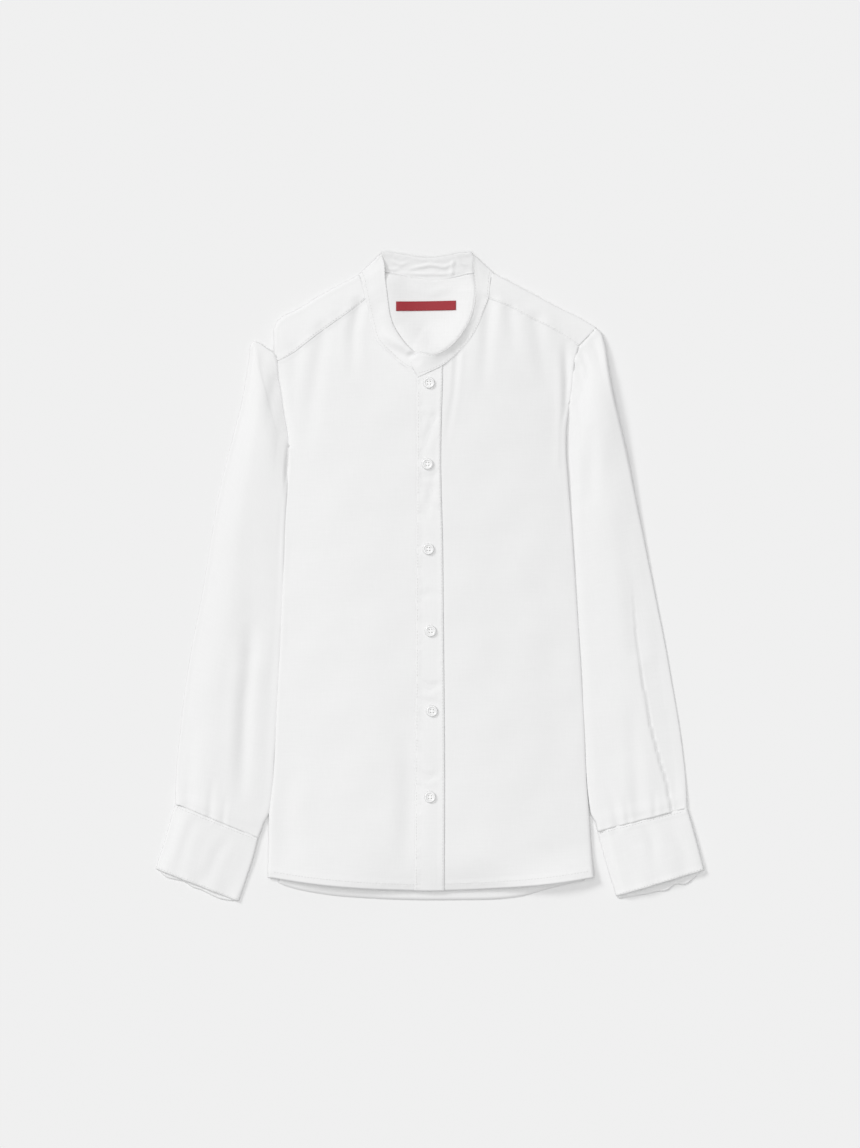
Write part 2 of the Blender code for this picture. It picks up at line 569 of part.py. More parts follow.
def collar_band(cloth):
    """The stand of the collar: its back lies on the surface, its front stands and leans in."""
    lift = {"lap": WALL + LAY_GAP, "top": 0.0, "low": -LOW_BAND}

    def seam_height(row):
        if row.layer == "under":
            return 0.0
        high = top_height(row.x, row.y)
        if row.layer == "fold":
            return high / 2
        return high + lift[row.layer] - (lap_drop(row.x) if row.layer != "lap" and row.x < 12 else 0.0)

    def place(column, step):
        row = COLLAR[column]
        share = step / (BAND_ROWS - 1)
        low = seam_height(row)
        bow = row.roll * 2 * share * (1 - share)
        x, y = between(row.x, row.edge_x, share), between(row.y, row.edge_y, share)
        return x, y, low + row.rise * share + bow

    bm = bmesh.new()
    add_grid(bm, len(COLLAR), BAND_ROWS, place)
    return finish(bm, "collar_band", cloth, WALL)


def edge_direction(stations, index, side):
    """Unit direction out of the sleeve at one of its folds, square to that fold's run."""
    here = stations[index]
    across = (here.outer_x - here.inner_x, here.outer_y - here.inner_y)
    if index == 0:
        to = across
    else:
        ahead, behind = stations[min(index + 1, len(stations) - 1)], stations[index - 1]
        if side == "outer":
            run = (ahead.outer_x - behind.outer_x, ahead.outer_y - behind.outer_y)
        else:
            run = (ahead.inner_x - behind.inner_x, ahead.inner_y - behind.inner_y)
        to = (run[1], -run[0])
    facing = to[0] * across[0] + to[1] * across[1]
    if (facing < 0) == (side == "outer"):
        to = (-to[0], -to[1])
    length = math.hypot(*to)
    return to[0] / length, to[1] / length


def ring(station, out, back_in, across_shares):
    """One closed section of a flattened tube, and its flat run's two ends.

    Runs round the outer fold from below, over the top to the inner fold, and back underneath.
    """
    bow = SLEEVE_FOLD_OUT
    outer = (station.outer_x - out[0] * bow, station.outer_y - out[1] * bow)
    inner = (station.inner_x - back_in[0] * bow, station.inner_y - back_in[1] * bow)
    points = []
    for turn in FOLD_TURNS:
        reach = bow * math.cos(math.radians(turn))
        z = station.edge / 2 * (1 + math.sin(math.radians(turn)))
        points.append((outer[0] + out[0] * reach, outer[1] + out[1] * reach, z))
    for share in across_shares:
        z = station.edge + station.crown * math.sin(math.pi * share)
        points.append((between(outer[0], inner[0], share), between(outer[1], inner[1], share), z))
    for turn in reversed(FOLD_TURNS):
        reach = bow * math.cos(math.radians(turn))
        z = station.edge / 2 * (1 + math.sin(math.radians(turn)))
        points.append((inner[0] + back_in[0] * reach, inner[1] + back_in[1] * reach, z))
    for share in reversed(across_shares):
        points.append((between(outer[0], inner[0], share), between(outer[1], inner[1], share), 0.0))
    return points


def under_seam(start, end, gap):
    """A point of the under side's seam, a gap further in from the fold at start towards end."""
    apart = math.hypot(end[0] - start[0], end[1] - start[1])
    share = min(SLEEVE_SEAM_IN, apart / 2) / apart + gap / apart
    return tuple(between(a, b, share) for a, b in zip(start, end))


def sleeve(name, cloth, stations, armhole, folds, sign):
    """A sleeve as a flattened tube, in an upper piece with both folds and a flat under side.

    The first section follows the armhole seam.
    """
    tip, underarm = stations[0], Point(stations[0].inner_x, stations[0].inner_y)
    run = math.hypot(tip.outer_x - underarm.x, tip.outer_y - underarm.y)
    shares = []
    for point in armhole:
        shares.append(1 - math.hypot(point.x - underarm.x, point.y - underarm.y) / run)
    flat = len(FOLD_TURNS)
    count = 2 * (flat + len(shares))

    def section(index):
        station = stations[index]
        out = edge_direction(stations, index, "outer")
        back_in = edge_direction(stations, index, "inner")
        points = ring(station, out, back_in, shares)
        curve = max(0.0, 1 - index / HEAD_STATIONS) ** 2
        if curve:
            head_points = ring(
                stations[0],
                edge_direction(stations, 0, "outer"),
                edge_direction(stations, 0, "inner"),
                shares,
            )
            for order, seam in enumerate(armhole):
                for place in (flat + order, count - 1 - order):
                    x, y, z = points[place]
                    straight_x, straight_y, straight_z = head_points[place]
                    if place < count / 2:
                        z += curve * (top_height(seam.x, seam.y) - straight_z)
                    x += curve * (seam.x - straight_x)
                    y += curve * (seam.y - straight_y)
                    points[place] = (x, y, z)
        for fold in folds:
            along = (index - fold.start) / (fold.end - fold.start)
            centre = between(fold.across, fold.end_across, min(max(along, 0.0), 1.0))
            wide = math.hypot(station.outer_x - station.inner_x, station.outer_y - station.inner_y)
            for order, share in enumerate(shares):
                x, y, z = points[flat + order]
                drop = trough((share - centre) * wide, fold.wide, fold.deep, along)
                points[flat + order] = (x, y, z - drop)
        if index == 0:
            points = [(x + sign * SLEEVE_GAP, y, z) for x, y, z in points]
        return points

    upper_rows, under_rows = [], []
    for index in range(len(stations)):
        points = section(index)
        last = 2 * flat + len(shares) - 1
        outer, inner = (points[0], points[-1]), (points[last], points[last + 1])
        upper = [under_seam(*outer, 0.0), *points[: last + 1], under_seam(*inner, 0.0)]
        under = [under_seam(*inner, SEAM_GAP), *points[last + 1 :], under_seam(*outer, SEAM_GAP)]
        upper_rows.append(upper)
        under_rows.append(under)

    for piece, rows in ((name, upper_rows), (name + "_under", under_rows)):
        bm = bmesh.new()
        add_grid(bm, len(rows[0]), len(rows), lambda column, row: rows[row][column])
        if sign < 0:
            bmesh.ops.reverse_faces(bm, faces=bm.faces)
        finish(bm, piece, cloth, WALL)


def cuff(name, cloth, stations, under_reach, sign):
    """A cuff as an open flattened tube; its under side reaches past its upper side in waves."""
    spans = len(under_reach) - 1
    shares = [index / spans for index in range(1, spans)]
    flat = len(FOLD_TURNS)
    count = 2 * (flat + len(shares))
    first, last = stations[0], stations[-1]
    along = (
        (last.outer_x + last.inner_x - first.outer_x - first.inner_x) / 2,
        (last.outer_y + last.inner_y - first.outer_y - first.inner_y) / 2,
    )
    length = math.hypot(*along)
    along = (along[0] / length, along[1] / length)
    under = [0] + list(range(count - 1, count - len(shares) - 2, -1))

    def section(index):
        station = stations[index]
        across = (station.outer_x - station.inner_x, station.outer_y - station.inner_y)
        wide = math.hypot(*across)
        out = (across[0] / wide, across[1] / wide)
        points = ring(station, out, (-out[0], -out[1]), shares)
        if index == len(stations) - 1:
            for place, reach in zip(under, under_reach):
                x, y, z = points[place]
                points[place] = (x + along[0] * reach, y + along[1] * reach, z)
        return points

    sections = [section(index) for index in range(len(stations))]
    bm = bmesh.new()
    add_grid(bm, count + 1, len(stations), lambda column, row: sections[row][column % count])
    if sign < 0:
        bmesh.ops.reverse_faces(bm, faces=bm.faces)
    return finish(bm, name, cloth, WALL)


def neck_label(cloth):
    """A plain label on the inside of the back neck."""
    bottom = WALL + LAY_GAP

    def place(column, row):
        corner = LABEL_CORNERS[column if row == 0 else 3 - column]
        return corner.x, corner.y, bottom + LABEL_THICK

    bm = bmesh.new()
    add_grid(bm, 2, 2, place)
    return finish(bm, "neck_label", cloth, LABEL_THICK)


def button(name, pearl, centre):
    """A round button with a rolled rim and a dished face."""
    base = top_height(centre.x, centre.y) + WALL + 2 * LAY_GAP
    bm = bmesh.new()
    ring_points = []
    for out, up in BUTTON_PROFILE:
        x, z = centre.x + out * BUTTON_ACROSS / 2, base + up * BUTTON_THICK
        ring_points.append(bm.verts.new((MM * x, MM * centre.y, MM * z)))
    edges = [bm.edges.new(pair) for pair in zip(ring_points, ring_points[1:])]
    bmesh.ops.spin(
        bm, geom=ring_points + edges, cent=(MM * centre.x, MM * centre.y, 0.0), axis=(0, 0, 1),
        angle=math.tau, steps=BUTTON_STEPS, use_merge=True,
    )
    bmesh.ops.remove_doubles(bm, verts=bm.verts, dist=0.00001)
    bmesh.ops.recalc_face_normals(bm, faces=bm.faces)
    return finish(bm, name, pearl)


def main():
    for existing in list(bpy.data.objects):
        bpy.data.objects.remove(existing)
    linen = material("woven_linen", (0.86, 0.86, 0.86), 0.9)
    label_red = material("label_satin", (0.45, 0.013, 0.027), 0.6)
    pearl = material("button_pearl", (0.8, 0.8, 0.79), 0.25)

    back_panel(linen)
    yoke(linen)
    left = FrontCut(LEFT_TOP, 3, LEFT_SIDE, UNDERARM_LEFT, ARMHOLE_LEFT, [7, 5, 3, 2, 1])
    right = FrontCut(RIGHT_TOP, 4, RIGHT_SIDE, UNDERARM_RIGHT, ARMHOLE_RIGHT, [7, 5, 3, 1, 0])
    front_panel("front_left", linen, left, 1)
    front_panel("front_right", linen, right, -1)
    placket(linen)
    collar_band(linen)
    sleeve("sleeve_left", linen, SLEEVE_LEFT, ARMHOLE_LEFT, LEFT_SLEEVE_FOLDS, 1)
    sleeve("sleeve_right", linen, SLEEVE_RIGHT, ARMHOLE_RIGHT, RIGHT_SLEEVE_FOLDS, -1)
    cuff("cuff_left", linen, CUFF_LEFT, CUFF_LEFT_UNDER, 1)
    cuff("cuff_right", linen, CUFF_RIGHT, CUFF_RIGHT_UNDER, -1)
    neck_label(label_red)
    for number, centre in enumerate(BUTTONS, 1):
        button(f"button_{number}", pearl, centre)


main()
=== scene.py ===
"""A child's linen shirt with a mandarin collar, laid flat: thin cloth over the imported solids.

X runs to the wearer's left, Y up to the collar and Z off the surface. Lengths are in millimetres.
"""
import math
from collections import namedtuple

import bmesh
import bpy
import numpy as np
from mathutils import Matrix, Vector


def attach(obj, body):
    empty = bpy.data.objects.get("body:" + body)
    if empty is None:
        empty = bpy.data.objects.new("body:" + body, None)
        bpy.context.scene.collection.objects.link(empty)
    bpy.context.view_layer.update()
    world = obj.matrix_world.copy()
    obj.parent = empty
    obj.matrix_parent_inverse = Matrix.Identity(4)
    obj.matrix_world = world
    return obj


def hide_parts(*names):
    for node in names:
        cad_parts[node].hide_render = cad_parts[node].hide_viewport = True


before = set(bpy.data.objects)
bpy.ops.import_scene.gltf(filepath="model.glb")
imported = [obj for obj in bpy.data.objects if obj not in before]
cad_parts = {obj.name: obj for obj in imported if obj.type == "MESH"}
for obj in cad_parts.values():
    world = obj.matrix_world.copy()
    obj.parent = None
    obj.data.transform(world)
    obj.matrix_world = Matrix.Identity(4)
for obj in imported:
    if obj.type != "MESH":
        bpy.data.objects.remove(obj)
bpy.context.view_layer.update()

MM = 0.001
CELL = 1.6   # spacing of the cloth's points

# Cloth
CLOTH = 0.4           # one layer of linen
DOUBLE = 0.8          # two layers and a lining, in the cuffs
PLACKET_WALL = 0.7
COLLAR_WALL = 0.55
LABEL_WALL = 0.6
LABEL_LIFT = 1.3      # how far the label stands over the yoke
TUCK = 1.5            # seam allowance that shows as a soft step beside a seam
TOPSTITCH = 1.6       # topstitching's distance from a seam
HEM_WIDE = 6          # depth of the turned hems
NO_SEAM = 9.0         # distance given where no seam is near

# The laid body
FOLD_HIGH = 9         # across a packed side fold
SIDE_HIGH = 4.6       # height of the cloth at the side and shoulder folds
SIDE_HIGH_HEM = 3.4
CROWN_CHEST = 7.2     # how much higher it lies at the middle
CROWN_HEM = 5.2
SIDE_SLOPE = 98       # width over which it rises from a side and from a shoulder
SHOULDER_SLOPE = 90
SHOULDER_LOW = 1.4    # how much lower the cloth lies along the shoulder folds
SHOULDER_FADE = 24
SHOULDER_Y = 190      # level from which it does
TAUT = 6              # width along a side fold in which the creases die out
GROOVE_WIDE = 2.4     # of the groove along an armhole seam
HEM_Y = -283          # the hem's middle; it rises towards the sides
HEM_RISE = 12.5
HALF_HEM = 147.5
HEM_FADE = 34         # height over which the front settles to its hem
HEM_LEVEL = -270      # levels between which the loft changes
CHEST_Y = 150
BACK_SEAM_Y = 171
NECK_BACK_Y = 270     # level of the back of the neck
SIDE_SEAM_IN = 14     # from a side fold to the seam underneath
SIDE_CLEAR = 1.9      # room under the side folds, where the sleeves' inner folds reach in
BESIDE_ENDS = -221    # level at which the sleeves part from the body
FLAT_SHARE = 0.84     # share of a front's columns that lie on top; the rest turn under
TURN_SHARE = 0.10     # share that goes round the side fold

# The right front under the placket, and the placket on the left front
LAP = 1.6             # how far the right front lies below the left one
LAP_EDGE = 0.25       # the same where the placket's free edge rests
LAP_START_X = -12
LAP_FADE = 58
PLACKET_WIDE = 25
PLACKET_LOW = -0.15   # how far its free edge stands over the left front's own level
PLACKET_HIGH = 0.45   # the same at its folded edge

# Collar band and sleeves
BAND_END = 8          # how far the free end's corner rounds out
BAND_WIDE = 18
LAP_END_LIFT = 0.1    # how far the band's free end lies over the placket
FOLD_OUT = 3          # how far a sleeve's and a cuff's folds bow out
CUFF_FOLD_OUT = 2.4
HEAD_STATIONS = 5     # stations over which a sleeve's head turns from its seam's curve to straight
LEAN = 0.08           # share of its height that a sleeve loses on its side away from the light
LEAN_FROM = 120       # distance from the armhole from which it leans so
SEAM_DIP = 3.5        # width of the dip along a sleeve's head
SEAM_TUCK = 1.8       # how far its end reaches under the body
SIDE_ROLL = 32        # width over which a sleeve falls to its outer fold
PUFF = 0.6            # how much the pleats stand up before the cuff
CUFF_TUCK = 1.5       # how far a cuff reaches into the sleeve
CUFF_LEAN = 0.16      # the same for a cuff
# Round a sleeve or cuff: where its outer fold, upper side and inner fold end.
ROUND = 14
SECTION = [1 / ROUND, 7 / ROUND, 8 / ROUND]

# Buttons and stitches
BUTTON_ACROSS = 10.2
BUTTON_HOLE = 1.7     # across each of the four holes
HOLE_OUT = 1.5        # from the button's middle to a hole's, along X and Y
HOLE_HIGH = 1.28      # just over the button's dished middle
FRONT_TALL, BACK_TALL = 430, 460    # along which the hems' rows are placed
PLACKET_ROWS = (0.065, 0.935)       # shares of a piece's width at which its rows run
BAND_ROWS = (0.90, 0.12)
YOKE_ROW = 0.95
STITCH = 2.1          # length of a topstitch
STITCH_PITCH = 2.8
STITCH_WIDE = 0.45
STITCH_THICK = 0.4
STITCH_LIFT = 0.02

Point = namedtuple("Point", "x y")
YokeRay = namedtuple("YokeRay", "fold_x fold_y seam_x seam_y back_x")
Band = namedtuple("Band", "layer x y edge_x edge_y high roll")
Station = namedtuple("Station", "outer_x outer_y inner_x inner_y edge crown")
Crease = namedtuple("Crease", "strong wide deep path")
FrontCut = namedtuple("FrontCut", "sign top corner laps side underarm armhole")
Arm = namedtuple("Arm", "name sign sleeve armhole cuff cuff_under groove beside outer loft")
Spots = namedtuple("Spots", "x y z across along stitch")


def rows(kind, *values):
    return [kind(*value) for value in values]


def bands(layer, *values):
    return [Band(layer, *value) for value in values]


def creases(strong, *values):
    """Creases by where they are strongest: each one's width, depth and corners, x and y in turn."""
    return [Crease(strong, wide, deep, np.reshape(path, (-1, 2))) for wide, deep, *path in values]


# Level and x of the body's outline, from the hem up and along the armhole.
LEFT_SIDE = [
    (-271, 148.4), (-252, 146.3), (-217, 144), (-185, 141.4), (-140, 139.5), (-95, 137.2),
    (-50, 134.4), (-12, 132), (24, 129.6), (54, 127.4), (85, 124.9), (114, 122.8), (132, 123),
    (155.7, 126), (171, 128.3), (195.3, 130.5), (207.9, 134.1), (225, 150.3),
]
RIGHT_SIDE = [
    (-271, -146.4), (-243, -145.9), (-214, -145.4), (-192, -142.6), (-117, -138.4), (-21, -133.6),
    (67, -131.2), (117, -127.8), (149.4, -132.3), (171, -135), (194.4, -138.2), (231, -140.4),
]
UNDERARM_LEFT = Point(126.0, 155.7)
UNDERARM_RIGHT = Point(-127.8, 117.0)

# Armhole seams, from the shoulder tip down to the underarm.
ARMHOLE_LEFT = rows(
    Point, (139.5, 213.6), (134.1, 207.9), (132.3, 201.6), (130.5, 195.3), (129.8, 187),
    (129.1, 179), (128.3, 171), (127.6, 164.5),
)
ARMHOLE_RIGHT = rows(
    Point, (-138.2, 194.4), (-137.2, 185), (-136.2, 178), (-135, 171), (-133.6, 160),
    (-132.3, 149.4), (-130.6, 139), (-129.1, 129.6),
)
TIP_LEFT = Point(150.3, 225.0)
NECK_LEFT = Point(56.7, 274.5)
NECK_RIGHT = Point(-63.9, 272.7)
SHOULDER_END_RIGHT = Point(-140.4, 231.3)

# Top edges of the fronts: along the neck seam, then along the yoke seam to the armhole.
LEFT_TOP = rows(
    Point, (-11.7, 180), (0, 185.4), (11.7, 191.3), (24.3, 202.1), (36, 215.1), (42.6, 226.8),
    (47.7, 240.3), (51.8, 251.1), (64, 246.7), (78, 240.3), (92, 232.5), (106, 226), (120, 217.5),
    (134.1, 207.9),
)
RIGHT_TOP = rows(
    Point, (9.9, 189.9), (0, 185.2), (-9, 184.6), (-18, 187.2), (-28.8, 194.4), (-36, 201.6),
    (-42.3, 207), (-48.6, 214.5), (-52.2, 228.6), (-55.8, 244.8), (-57.6, 251.1), (-67.5, 243),
    (-81, 233.1), (-96.3, 222.3), (-108, 213.3), (-119.7, 204.3), (-129, 198.6), (-138.2, 194.4),
)
# The back's hem, and the height of the front's, which settles onto the back towards the placket.
BACK_HEM = [
    (-146.3, -272.4), (-128.3, -279.9), (-99, -286.2), (-54, -290.3), (-15.8, -291.7),
    (29.3, -291.7), (63, -290.7), (81, -288.5), (103.5, -282.4), (125, -277), (148.5, -272.4),
]
HEM_LOFT = [
    (-147, 3.4), (-130, 5.4), (-110, 7.6), (-85, 8.2), (-60, 7.2), (-35, 5), (-16, 4.2), (0, 4.6),
    (14, 3.8), (40, 3.6), (62, 4.8), (85, 8.4), (105, 10.6), (128, 10.2), (148, 7.6),
]
# Level and x of the placket's free edge and of its fold.
PLACKET_EDGE = [
    (-283, -14.4), (180, -11.7),
]
PLACKET_FOLD = [
    (-283, 13.2), (-160, 13.4), (-50, 12.4), (25, 11.7), (110, 9.9), (150, 10.6), (191.3, 11.7),
]
# Depth of the groove along each armhole seam, by the level on it.
GROOVE_LEFT = [
    (145, 1.4), (168, 1), (190, 0.4), (214, 0.1),
]
GROOVE_RIGHT = [
    (110, 1.8), (135, 3), (165, 2.9), (186, 2.3), (198, 0.6),
]
# The front sinks to the back beside the neck on the right.
SUNK_AT = Point(-44.0, 232.0)
SUNK = 4
SUNK_WIDE = 34

# The yoke from its back seam, over the shoulder fold, to its front seam.
YOKE_LEFT = rows(
    YokeRay, (56.7, 274.5, 51.8, 251.1, 50), (70, 267.8, 64, 246.7, 62), (86, 259.2, 78, 240.3, 75),
    (102, 250.7, 92, 232.5, 88), (119, 241.8, 106, 226, 101), (135, 234, 120, 217.5, 114),
    (150.3, 225, 134.1, 207.9, 128.3),
)
YOKE_RIGHT = rows(
    YokeRay, (-63.9, 272.7, -57.6, 251.1, -58), (-80, 264.6, -67.5, 243, -68),
    (-100, 253.6, -81, 233.1, -80), (-119, 241.8, -96.3, 222.3, -92),
    (-133, 234.8, -108, 213.3, -104), (-140, 226, -119.7, 204.3, -115),
    (-140.9, 212, -129, 198.6, -125), (-140.4, 201.2, -138.2, 194.4, -135),
)
# The back of the neck, with the x of each point's foot on the yoke's back seam.
BACK_NECK = [
    (46.8, 273.2, 42), (37.8, 274.5, 32), (22.5, 271.4, 19), (4.5, 268.2, 4), (-13.5, 270.5, -12),
    (-27, 272.9, -25), (-41.9, 275.4, -38), (-54, 273.6, -49),
]
# The collar band, from the left front's lap round the back neck to the right front's lap: a point
# of the neck seam, a point of the free edge, that edge's height and how far the band bows up.
COLLAR = [
    *bands("lap", (-11.3, 180.5, -8.1, 202.5, 13, 0.4), (0, 185.8, 2, 199.6, 15.4, 0.6),
          (11.7, 191.8, 11.6, 202.6, 15.9, 0.4)),
    *bands("top", (24, 202.5, 20.4, 209, 15.8, 0.3), (35.5, 215.4, 29.2, 219.6, 14.9, 0.3),
          (42.1, 227, 35.2, 230.2, 13.2, 0.3), (47.2, 240.5, 39.2, 242.4, 10.8, 0.3),
          (51.4, 251.1, 40.6, 252.6, 9, 0.3), (52.8, 261, 40.4, 265, 7.2, 0.4),
          (54.3, 270.9, 38.9, 281.5, 5.6, 0.4)),
    *bands("fold", (56.3, 275.1, 36.6, 293.4, 4.6, 0)),
    *bands("under", (53.8, 271.8, 33.4, 292.6, 4.2, 0), (46.8, 273.6, 28.8, 292.6, 4, 0),
          (37.8, 274.9, 23.4, 291.6, 3.8, 0), (22.5, 271.8, 13.5, 289.6, 3.6, 0),
          (4.5, 268.6, 0, 288.2, 3.4, 0), (-13.5, 270.9, -13.5, 289.2, 3.6, 0),
          (-27, 273.3, -24.6, 291, 3.8, 0), (-41.9, 275.8, -33.6, 292.4, 4, 0),
          (-54, 274, -38.4, 293, 4.2, 0), (-60.9, 270.2, -41.4, 292.6, 4.2, 0)),
    *bands("fold", (-63.5, 273.4, -43.6, 292.4, 4.6, 0)),
    *bands("top", (-61.4, 269.2, -41.4, 283.6, 4.8, 0.3), (-59.3, 260, -40.4, 270, 4.9, 0.5),
          (-57.1, 251.1, -38.8, 258.4, 5, 0.6), (-55.3, 244.8, -37.4, 247.4, 5.2, 0.8),
          (-51.7, 228.6, -35.2, 234.4, 5.8, 1), (-48.1, 214.7, -31.6, 225, 6.4, 1.4),
          (-41.9, 207.4, -26.8, 217.2, 8, 2), (-35.6, 202, -22.4, 211.4, 9.3, 2.4),
          (-28.4, 194.9, -16.8, 205.4, 10.6, 2.6)),
    *bands("low", (-17.6, 188.2, -9.2, 200.6, 11.7, 2), (-9, 187, -3.2, 199, 12.5, 1.2),
          (0, 188, 3.2, 199.2, 13.1, 0.6), (9.3, 192.4, 9.8, 202, 13.7, 0.4)),
]
# Sleeves, from the armhole seam to the cuff seam, and cuffs from there to the open end.
SLEEVE_LEFT = rows(
    Station, (150.3, 225, 127.1, 155.7, 9, 0), (153.9, 221.4, 127.2, 153, 9, 1),
    (157.6, 211.5, 127.6, 147.6, 9.4, 2), (161.1, 190, 127.8, 137.7, 10, 4),
    (165.6, 164.7, 127.8, 123.3, 10, 5), (171, 141.3, 127.9, 107.1, 9.6, 4.6),
    (177.3, 114.3, 128.5, 87.3, 9, 4), (186.3, 69.3, 129.6, 51.3, 8.4, 3.6),
    (195.3, 24.3, 131.8, 10.8, 8, 3.4), (204.3, -20.7, 134.6, -29.7, 7.8, 3.4),
    (212.4, -61.2, 137.7, -70.2, 7.6, 3.4), (218.7, -97.2, 139.8, -108, 7.6, 3.2),
    (224.6, -131.4, 141.8, -144, 7.6, 2.4), (228.6, -160.2, 143.6, -175.5, 7.6, 2.2),
    (231.3, -187.2, 146.7, -205.2, 7.6, 2), (232.2, -209.3, 151.2, -229.6, 7.6, 1.6),
)
SLEEVE_RIGHT = rows(
    Station, (-140.4, 201.2, -128.6, 117, 9, 0), (-145.8, 205.6, -128.9, 114.8, 8.8, 0.6),
    (-152.1, 210.2, -129.2, 112.1, 8.8, 1.2), (-158.4, 212.8, -129.6, 108.9, 9, 1.6),
    (-161.8, 208.8, -130.2, 104.4, 9.2, 2), (-163.1, 198, -130.9, 98.1, 9.4, 2.4),
    (-166.1, 179.1, -131.5, 87.3, 9.6, 2.8), (-170.1, 156.6, -132, 72.9, 9.4, 3),
    (-176.4, 132.3, -132.6, 55.8, 9, 3), (-183.6, 104.4, -133.2, 33.3, 8.6, 2.8),
    (-190.4, 75.6, -133.7, 10.8, 8.4, 2.8), (-196.2, 42.3, -134.3, -11.7, 8, 2.6),
    (-201.6, 9, -135.7, -36.9, 7.8, 2.6), (-207.5, -25.2, -137.5, -65.7, 7.6, 2.6),
    (-215.1, -63.9, -139, -95.4, 7.6, 2.6), (-221, -101.7, -140.7, -128.7, 7.6, 2.4),
    (-225.5, -139.5, -142.8, -162, 7.6, 2.4), (-229.1, -178.2, -145.4, -198, 7.6, 2.2),
    (-229.6, -194, -148, -216, 7.6, 1.8), (-229.5, -205.7, -154.8, -235.8, 7.6, 1.6),
)
CUFF_LEFT = rows(
    Station, (232.5, -209.3, 151.4, -229.8, 3.6, 0.8), (235.6, -220, 154.9, -243, 4.2, 0.9),
    (240.4, -237.2, 160.6, -263.4, 4.6, 1.2), (247.5, -264.6, 168.3, -288, 5, 1.8),
)
CUFF_RIGHT = rows(
    Station, (-229.8, -205.8, -155.1, -235.9, 3.6, 0.8), (-233.6, -218, -158.6, -250, 3.8, 0.9),
    (-239.2, -238, -165, -270, 3.4, 0.8), (-247.5, -263.7, -172.8, -292.8, 3, 0.6),
)
# How far a cuff's under edge shows past its upper one, from the outer fold to the inner.
CUFF_LEFT_UNDER = [0.4, 5, 8, 5.5, 8.5, 7, 6.6, 5.5, 4.4, 3.2]
CUFF_RIGHT_UNDER = [0.4, 3.6, 2.8, 1.6, 3.4, 3, 3.6, 4.2, 3, 0.6]
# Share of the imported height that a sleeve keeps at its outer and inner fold, by the distance
# from the armhole.
SLEEVE_LOFT = [
    (0, 0.52, 0.5), (30, 0.85, 0.42), (110, 0.72, 0.42), (190, 0.52, 0.44), (300, 0.46, 0.46),
    (480, 0.54, 0.54),
]
SLEEVE_LOFT_RIGHT = [
    (0, 0.52, 0.5), (30, 0.58, 0.62), (110, 0.6, 0.48), (190, 0.52, 0.44), (300, 0.46, 0.46),
    (480, 0.54, 0.54),
]
# Where a sleeve's inner fold meets the body's side, by level: how far it reaches under that side,
# what share of its height it keeps there and over what width it dips.
BESIDE_LEFT = [
    (-200, 3, 0.85, 5), (-60, 3.4, 0.8, 5), (50, 4.4, 0.7, 6), (90, 6, 0.5, 8), (130, 6, 0.45, 8),
    (155, 5, 0.6, 5),
]
BESIDE_RIGHT = [
    (-200, 3, 1.05, 4), (-20, 3, 1.15, 4), (50, 3.2, 1.1, 4), (80, 4, 0.9, 4), (100, 4.5, 0.6, 5),
    (117, 4, 0.7, 5),
]
# Share of its height that a sleeve keeps at its very edge, by the distance from the armhole.
OUTER_LEFT = [
    (0, 0.85), (30, 1.02), (90, 0.98), (170, 0.74), (260, 0.52), (480, 0.42),
]
OUTER_RIGHT = [
    (0, 0.5), (40, 0.42), (480, 0.36),
]
# Creases of the fronts.
FRONT_CREASES = creases(
    "start", (5, 1.5, -63.5, 246, -69, 222, -69.5, 178),
    (7, 1.5, -95, 222, -101.5, 187, -108, 149, -111.5, 108), (5, 0.5, -82, 232, -86, 205, -90, 170),
    (6, 0.7, -120, 203, -123, 170, -122, 130), (5.5, 1.6, 54, 249, 51, 213, 47.5, 165),
    (5, 0.8, 72, 241, 74, 219, 76, 196), (6.5, 1.3, 96, 231, 99, 206, 106, 165),
    (2.6, 0.9, 24.5, 200, 21.8, 166, 18.5, 146, 13.5, 119), (1.4, 0.25, 16, 192, 16, 172, 14, 150),
) + creases(
    "middle", (4, 2.6, 122, 214, 124, 180, 124.5, 150, 122.5, 96),
    (9, 1.2, -21, -140, -18, -200, -22, -266), (10, 1, -124, -170, -132, -215, -128, -262),
    (22, 0.5, 64, 60, 70, -40, 66, -120), (24, 0.5, -70, 20, -78, -90, -70, -190),
    (16, 0.7, 104, 40, 110, -60, 118, -200),
)
# The long pleat of the left sleeve, which runs down into the cuff.
PLEAT = [182, 0, 187.2, -65.7, 193.5, -104.4, 199.8, -137.7, 207, -164.7, 213.3, -185.4, 217.4, -209]
PLEAT_DEEP = 1.5
SLEEVE_CREASES = creases(
    "end", (8, 0.9, 172, 69, 181.8, 0, 187.2, -65.7), (1.5, 0.8, *PLEAT),
    (6, 1, 183, -108, 184, -150, 188, -214), (3.5, 0.9, 160, -188, 166, -206, 170, -226),
    (2.4, 0.7, 202, -190, 203, -214), (2.4, 0.6, 176, -196, 179, -222),
    (10, 0.8, -160, 66, -161, 0, -162, -68), (6, 1, -217, -128, -218, -160, -219, -206),
    (3, 0.9, -196, -180, -199, -218), (2.4, 0.7, -184, -196, -187, -224),
) + creases(
    "middle", (6, 1, 145, 137, 145, 100, 146, 66),
    (6.5, 1.9, -161, -40, -162, -68, -166.5, -113, -169, -171, -171, -204),
    (5, 1.5, 190, -213, 200, -236, 203, -264), (6, 1.5, 214, -218, 226, -240, 232, -262),
    (5, 1.3, -180, -232, -192, -250, -202, -276), (5, 1.2, -212, -218, -221, -240, -226, -262),
) + creases(
    "start", (2.6, 0.8, 137, 204, 141, 190, 144, 170), (3, 0.8, 133, 190, 139, 174, 143, 150),
    (3, 0.6, 147, 214, 152, 200, 155, 180), (4, 1, 168, -230, 182, -240, 198, -240),
    (4, 0.8, -149, 206, -153, 186, -156, 160), (4, 0.8, -139, 178, -143, 158, -146, 130),
)
